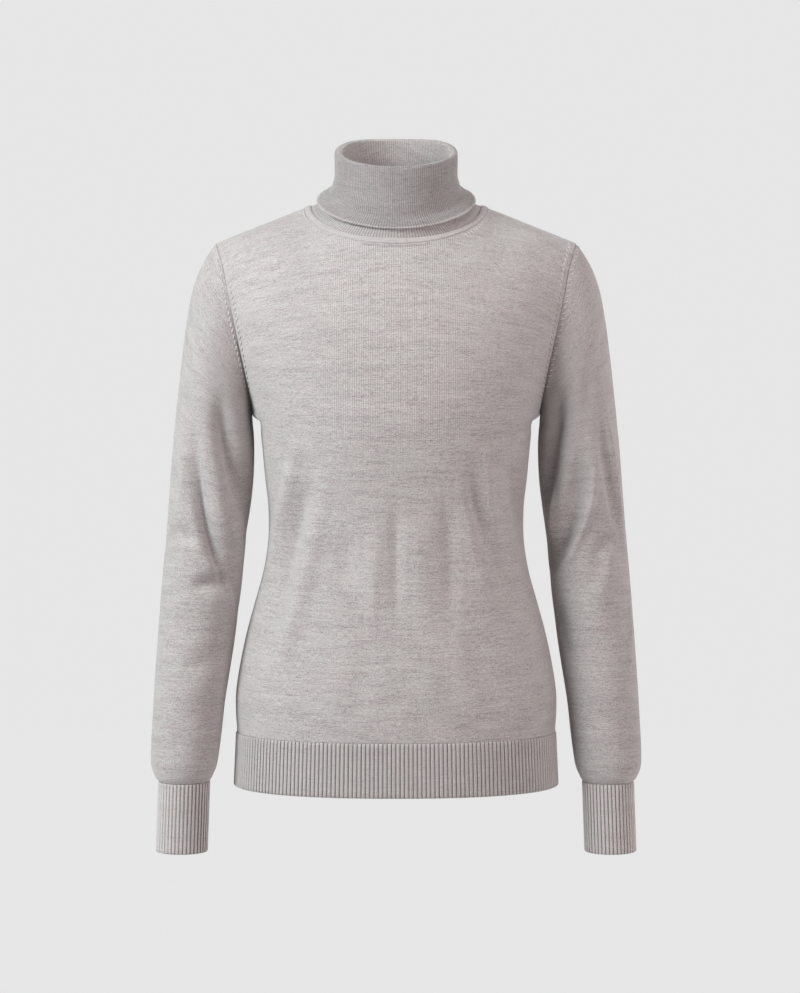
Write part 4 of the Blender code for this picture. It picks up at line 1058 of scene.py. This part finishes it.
# ---- fashioning marks beside the armholes and the neck, light threads with a painted highlight over dark threads of painted shadow, and threads of painted shade along the linking seam under the neck band
stitch = {
    "spacing": 0.0060,
    "bodyInset": 0.0060,     # from the armhole seam
    "sleeveInset": 0.0046,
    "length": 0.0044,
    "width": 0.0012,
    "rise": 0.0007,
    "shadowShift": 0.0009,   # the dark thread, painted shadow, lies this far below the light one
    "shadowSize": 0.7,       # and is this much narrower and flatter
    "slant": 0.70,
    "probe": 0.002,          # how far ahead and further in the cloth's own directions are read
    "sides": 6,
    "rings": ((-0.45, 0.72), (0.0, 1.0), (0.45, 0.72)),   # places along a thread and its girth there
    "stripColumns": 26,      # columns at a panel's side that its marks are placed on
    "stripRows": 20,         # and rows at the top of a panel or sleeve
    "endRows": (4, 3),       # rows left out at the underarm and at the shoulder
    "endShares": (0.6, 0.4),   # how far from a line's two ends the marks keep, in spacings
    "aboveUnderarm": 0.02,   # the sleeve's marks start this far above the underarm
    "chestMiddle": (0.0, 0.0, -0.15),
    "neckInset": 0.0065,
    "neckSpacing": 0.0042,
    "neckSlant": 0.9,
    "neckArcs": ((0.070, 0.096), (-0.100, -0.076)),
    "neckMargin": 0.012,
    "linkInset": (0.0022, 0.0038),
    "linkSpacing": 0.0021,
    "linkReach": 0.034,
    "linkMargin": 0.01,
    "linkSize": (0.0019, 0.0008, 0.0003),
}


def threads(name, places, look, size):  # small sewn threads: each a rounded grain lying on the cloth
    length, width, rise = size
    sides = stitch["sides"]
    points, faces = [], []
    for centre, along, normal in places:
        across = unit(np.cross(normal, along))
        first = len(points)
        last = first + sides * (len(stitch["rings"]) - 1)
        tip = last + sides
        for share, girth in stitch["rings"]:
            for angle in 2 * np.pi * np.arange(sides) / sides:
                points.append(centre + along * share * length + across * np.cos(angle) * girth * width / 2
                              + normal * np.sin(angle) * girth * rise)
        points += [centre - along * length / 2, centre + along * length / 2]
        for start in range(first, last, sides):
            for i in range(sides):
                a, b = start + i, start + (i + 1) % sides
                faces.append((a, b, b + sides, a + sides))
        for i in range(sides):
            j = (i + 1) % sides
            faces.append((tip, first + j, first + i))
            faces.append((tip + 1, last + i, last + j))
    mesh = bpy.data.meshes.new(name)
    mesh.from_pydata([tuple(point) for point in points], [], faces)
    layer = mesh.uv_layers.new(name="knit")
    layer.data.foreach_set("uv", np.zeros(len(mesh.loops) * 2, dtype=np.float32))
    mesh.shade_smooth()
    return addPiece(name, mesh, look)


def besideEdge(lines, inset, spacing, slant, keep=None):  # places along an edge that the lines run in from
    runs = runLength(lines, 1)
    found = np.array([pointAt(inset, run, line) for run, line in zip(runs, lines)])
    deeper = np.array([pointAt(inset + stitch["probe"], run, line) for run, line in zip(runs, lines)])
    inward = unit(deeper - found)
    path = runLength(found[None], 1)[0]
    before, after = stitch["endShares"]
    places = []
    for distance in np.arange(spacing * before, path[-1] - spacing * after, spacing):
        point = pointAt(distance, path, found)
        onward = unit(pointAt(distance + stitch["probe"], path, found) - point)
        into = unit(pointAt(distance, path, inward))
        normal = unit(np.cross(into, onward))
        places.append((point, unit(onward * np.cos(slant) + into * np.sin(slant)), normal))
    return [place for place in places if keep is None or keep(place[0])]


def outward(places, middle):  # turns each place's normal away from the garment's inside
    return [(point, along, normal * np.sign(normal @ (point - middle))) for point, along, normal in places]


def pairOfThreads(name, places):  # a light thread with a painted highlight, and below it a dark thread of painted shadow
    size = np.array([stitch["length"], stitch["width"], stitch["rise"]])
    down = np.array([0.0, 0.0, stitch["shadowShift"]])
    lower = [(point - down, along, normal) for point, along, normal in places]
    thinner = size * np.array([1.0, stitch["shadowSize"], stitch["shadowSize"]])
    return [threads(name, places, highlightStitchLook, size),
            threads(name + "_shade", lower, shadowStitchLook, thinner)]


def panelMarks(side, top):
    skipLow, skipHigh = stitch["endRows"]
    grid = panels[side]["outer"][panels[side]["lowRows"] - 1 + skipLow:-skipHigh]
    places = []
    for strip in (grid[:, ::-1], grid):
        strip = strip[:, :stitch["stripColumns"]]
        places += besideEdge(strip, stitch["bodyInset"], stitch["spacing"], stitch["slant"])
    if side == "front":
        margin = stitch["neckMargin"]
        for low, high in stitch["neckArcs"]:
            chosen = top[(top[:, 0, 0] > low - margin) & (top[:, 0, 0] < high + margin)]
            places += besideEdge(chosen, stitch["neckInset"], stitch["neckSpacing"], stitch["neckSlant"],
                                 lambda point: low < point[0] < high)
    return pairOfThreads("fashioning_" + side, outward(places, stitch["chestMiddle"]))


# the linking seam under the neck band, drawn as rows of dark threads of painted shade
def linkingSeamShade(top):
    chosen = top[np.abs(top[:, 0, 0]) < stitch["linkReach"] + stitch["linkMargin"]]
    places = []
    for inset in stitch["linkInset"]:
        places += besideEdge(chosen, inset, stitch["linkSpacing"], 0.0,
                             lambda point: abs(point[0]) < stitch["linkReach"])
    places = outward(places, stitch["chestMiddle"])
    return threads("linkingSeamShade", places, shadowStitchLook, stitch["linkSize"])


for side in ("front", "back"):
    top = panels[side]["outer"][::-1].transpose(1, 0, 2)[:, :stitch["stripRows"]]
    trimmings, restsOn = panelMarks(side, top), ()
    if side == "front":
        trimmings.append(linkingSeamShade(top))
        restsOn = ("bodyPanel_back",)
for side in ("left", "right"):
    ends = sleeves[side]["outer"][::-1].transpose(1, 0, 2)[:, :stitch["stripRows"]]
    places = besideEdge(ends, stitch["sleeveInset"], stitch["spacing"], stitch["slant"],
                        lambda point: point[2] > body["underarmZ"] + stitch["aboveUnderarm"])
    places = outward(places, ends[:, -1].mean(axis=0))
    trimmings = pairOfThreads("fashioning_sleeve_" + side, places)
    restsOn = ("bodyPanel_front", "bodyPanel_back")
print("stitches sewn")


# ---- studio and camera
studio = {
    "floorZ": -1.30,
    "floorRadius": 6.0,
    "wallRadius": 9.0,
    "wallHeight": 7.0,
    "sides": 96,
    "backdrop": 0.78,
    "dimmed": 0.04,
    "dimFrom": 0.4,
    "dimTo": -3.2,
    "lightAim": (0.0, 0.0, -0.30),
    "lights": {            # power, place, size and colour
        "keyLight": (63.0, (-1.70, -1.05, 1.00), 1.2, (0.93, 1.00, 1.00)),
        "sideLight": (19.0, (-2.00, -1.15, -0.55), 1.2, (0.94, 1.00, 1.00)),
        "fillLight": (32.0, (1.30, -1.98, 0.22), 1.2, (1.00, 0.91, 0.90)),
        "rimLight": (5.0, (2.28, -0.61, 0.12), 1.2, (1.00, 0.92, 0.91)),
        "topLight": (17.0, (0.30, -0.90, 1.95), 1.3, (1.00, 0.99, 0.98))},
}
view = {"place": (0.004, -3.6, -0.09), "aim": (0.004, 0.0, -0.30), "lens": 126.93}


def paperLook(name, near):
    look = Look(name, 1.0)
    look.shader.inputs["Base Color"].default_value = (0.02, 0.02, 0.02, 1.0)
    look.shader.inputs["Specular IOR Level"].default_value = 0.0
    look.shader.inputs["Emission Strength"].default_value = 1.0
    forward = look.node("ShaderNodeSeparateXYZ", values={0: look.node("ShaderNodeNewGeometry")}, output=1)
    values = {0: forward, 1: studio["dimFrom"], 2: studio["dimTo"], 3: studio["backdrop"], 4: near}
    look.feed("Emission Color", look.node("ShaderNodeMapRange", {"interpolation_type": "SMOOTHSTEP"}, values))
    return look.material


def studioBowl(name, near):  # plain paper, as bright at its front side as near says
    profile = [(0.0, studio["floorZ"]), (studio["floorRadius"], studio["floorZ"])]
    bend = studio["wallRadius"] - studio["floorRadius"]
    for t in np.linspace(0.1, 1.0, 10) * np.pi / 2:
        profile.append((studio["floorRadius"] + bend * np.sin(t), studio["floorZ"] + bend * (1 - np.cos(t))))
    profile.append((studio["wallRadius"], studio["wallHeight"]))
    count = studio["sides"]
    around = 2 * np.pi * np.arange(count) / count
    points = [(r * np.cos(a), r * np.sin(a), z) for r, z in profile[1:] for a in around]
    points.append((0.0, 0.0, studio["floorZ"]))
    faces = [(len(points) - 1, i, (i + 1) % count) for i in range(count)]
    for r in range(len(profile) - 2):
        for i in range(count):
            j = (i + 1) % count
            faces.append((r * count + i, (r + 1) * count + i, (r + 1) * count + j, r * count + j))
    mesh = bpy.data.meshes.new(name)
    mesh.from_pydata(points, [], faces)
    mesh.shade_smooth()
    mesh.materials.append(paperLook("plain pale paper, " + name, near))
    floor = bpy.data.objects.new(name, mesh)
    bpy.context.scene.collection.objects.link(floor)
    return floor


def softLight(name, power, place, size, colour):
    light = bpy.data.lights.new(name, "AREA")
    light.energy = power
    light.color = colour
    light.shape = "DISK"
    light.size = size
    lamp = bpy.data.objects.new(name, light)
    lamp.location = place
    lamp.rotation_euler = lookingAt(place, studio["lightAim"])
    bpy.context.scene.collection.objects.link(lamp)


def lookingAt(place, aim):
    x, y, z = (a - p for a, p in zip(aim, place))
    return (np.pi / 2 + np.arctan2(z, np.hypot(x, y)), 0.0, np.arctan2(-x, y))


paper = studioBowl("studioFloor", studio["backdrop"])   # what is seen behind the garment from any side
paper.visible_diffuse = paper.visible_glossy = paper.visible_transmission = paper.visible_shadow = False
softDome = studioBowl("softDome", studio["dimmed"])      # what lights the garment, itself unseen
softDome.visible_camera = False
for name, lamp in studio["lights"].items():
    softLight(name, *lamp)

world = bpy.data.worlds.new("studioAir")
world.use_nodes = True
world.node_tree.nodes["Background"].inputs["Color"].default_value = (1.0, 1.0, 1.0, 1.0)
world.node_tree.nodes["Background"].inputs["Strength"].default_value = studio["dimmed"]
bpy.context.scene.world = world
bpy.context.scene.view_settings.view_transform = "Standard"

lensData = bpy.data.cameras.new("productCamera")
lensData.sensor_fit = "VERTICAL"
lensData.sensor_height = 36.0
lensData.lens = view["lens"]
camera = bpy.data.objects.new("productCamera", lensData)
camera.location = view["place"]
camera.rotation_euler = lookingAt(view["place"], view["aim"])
bpy.context.scene.collection.objects.link(camera)
bpy.context.scene.camera = camera
print("studio ready")
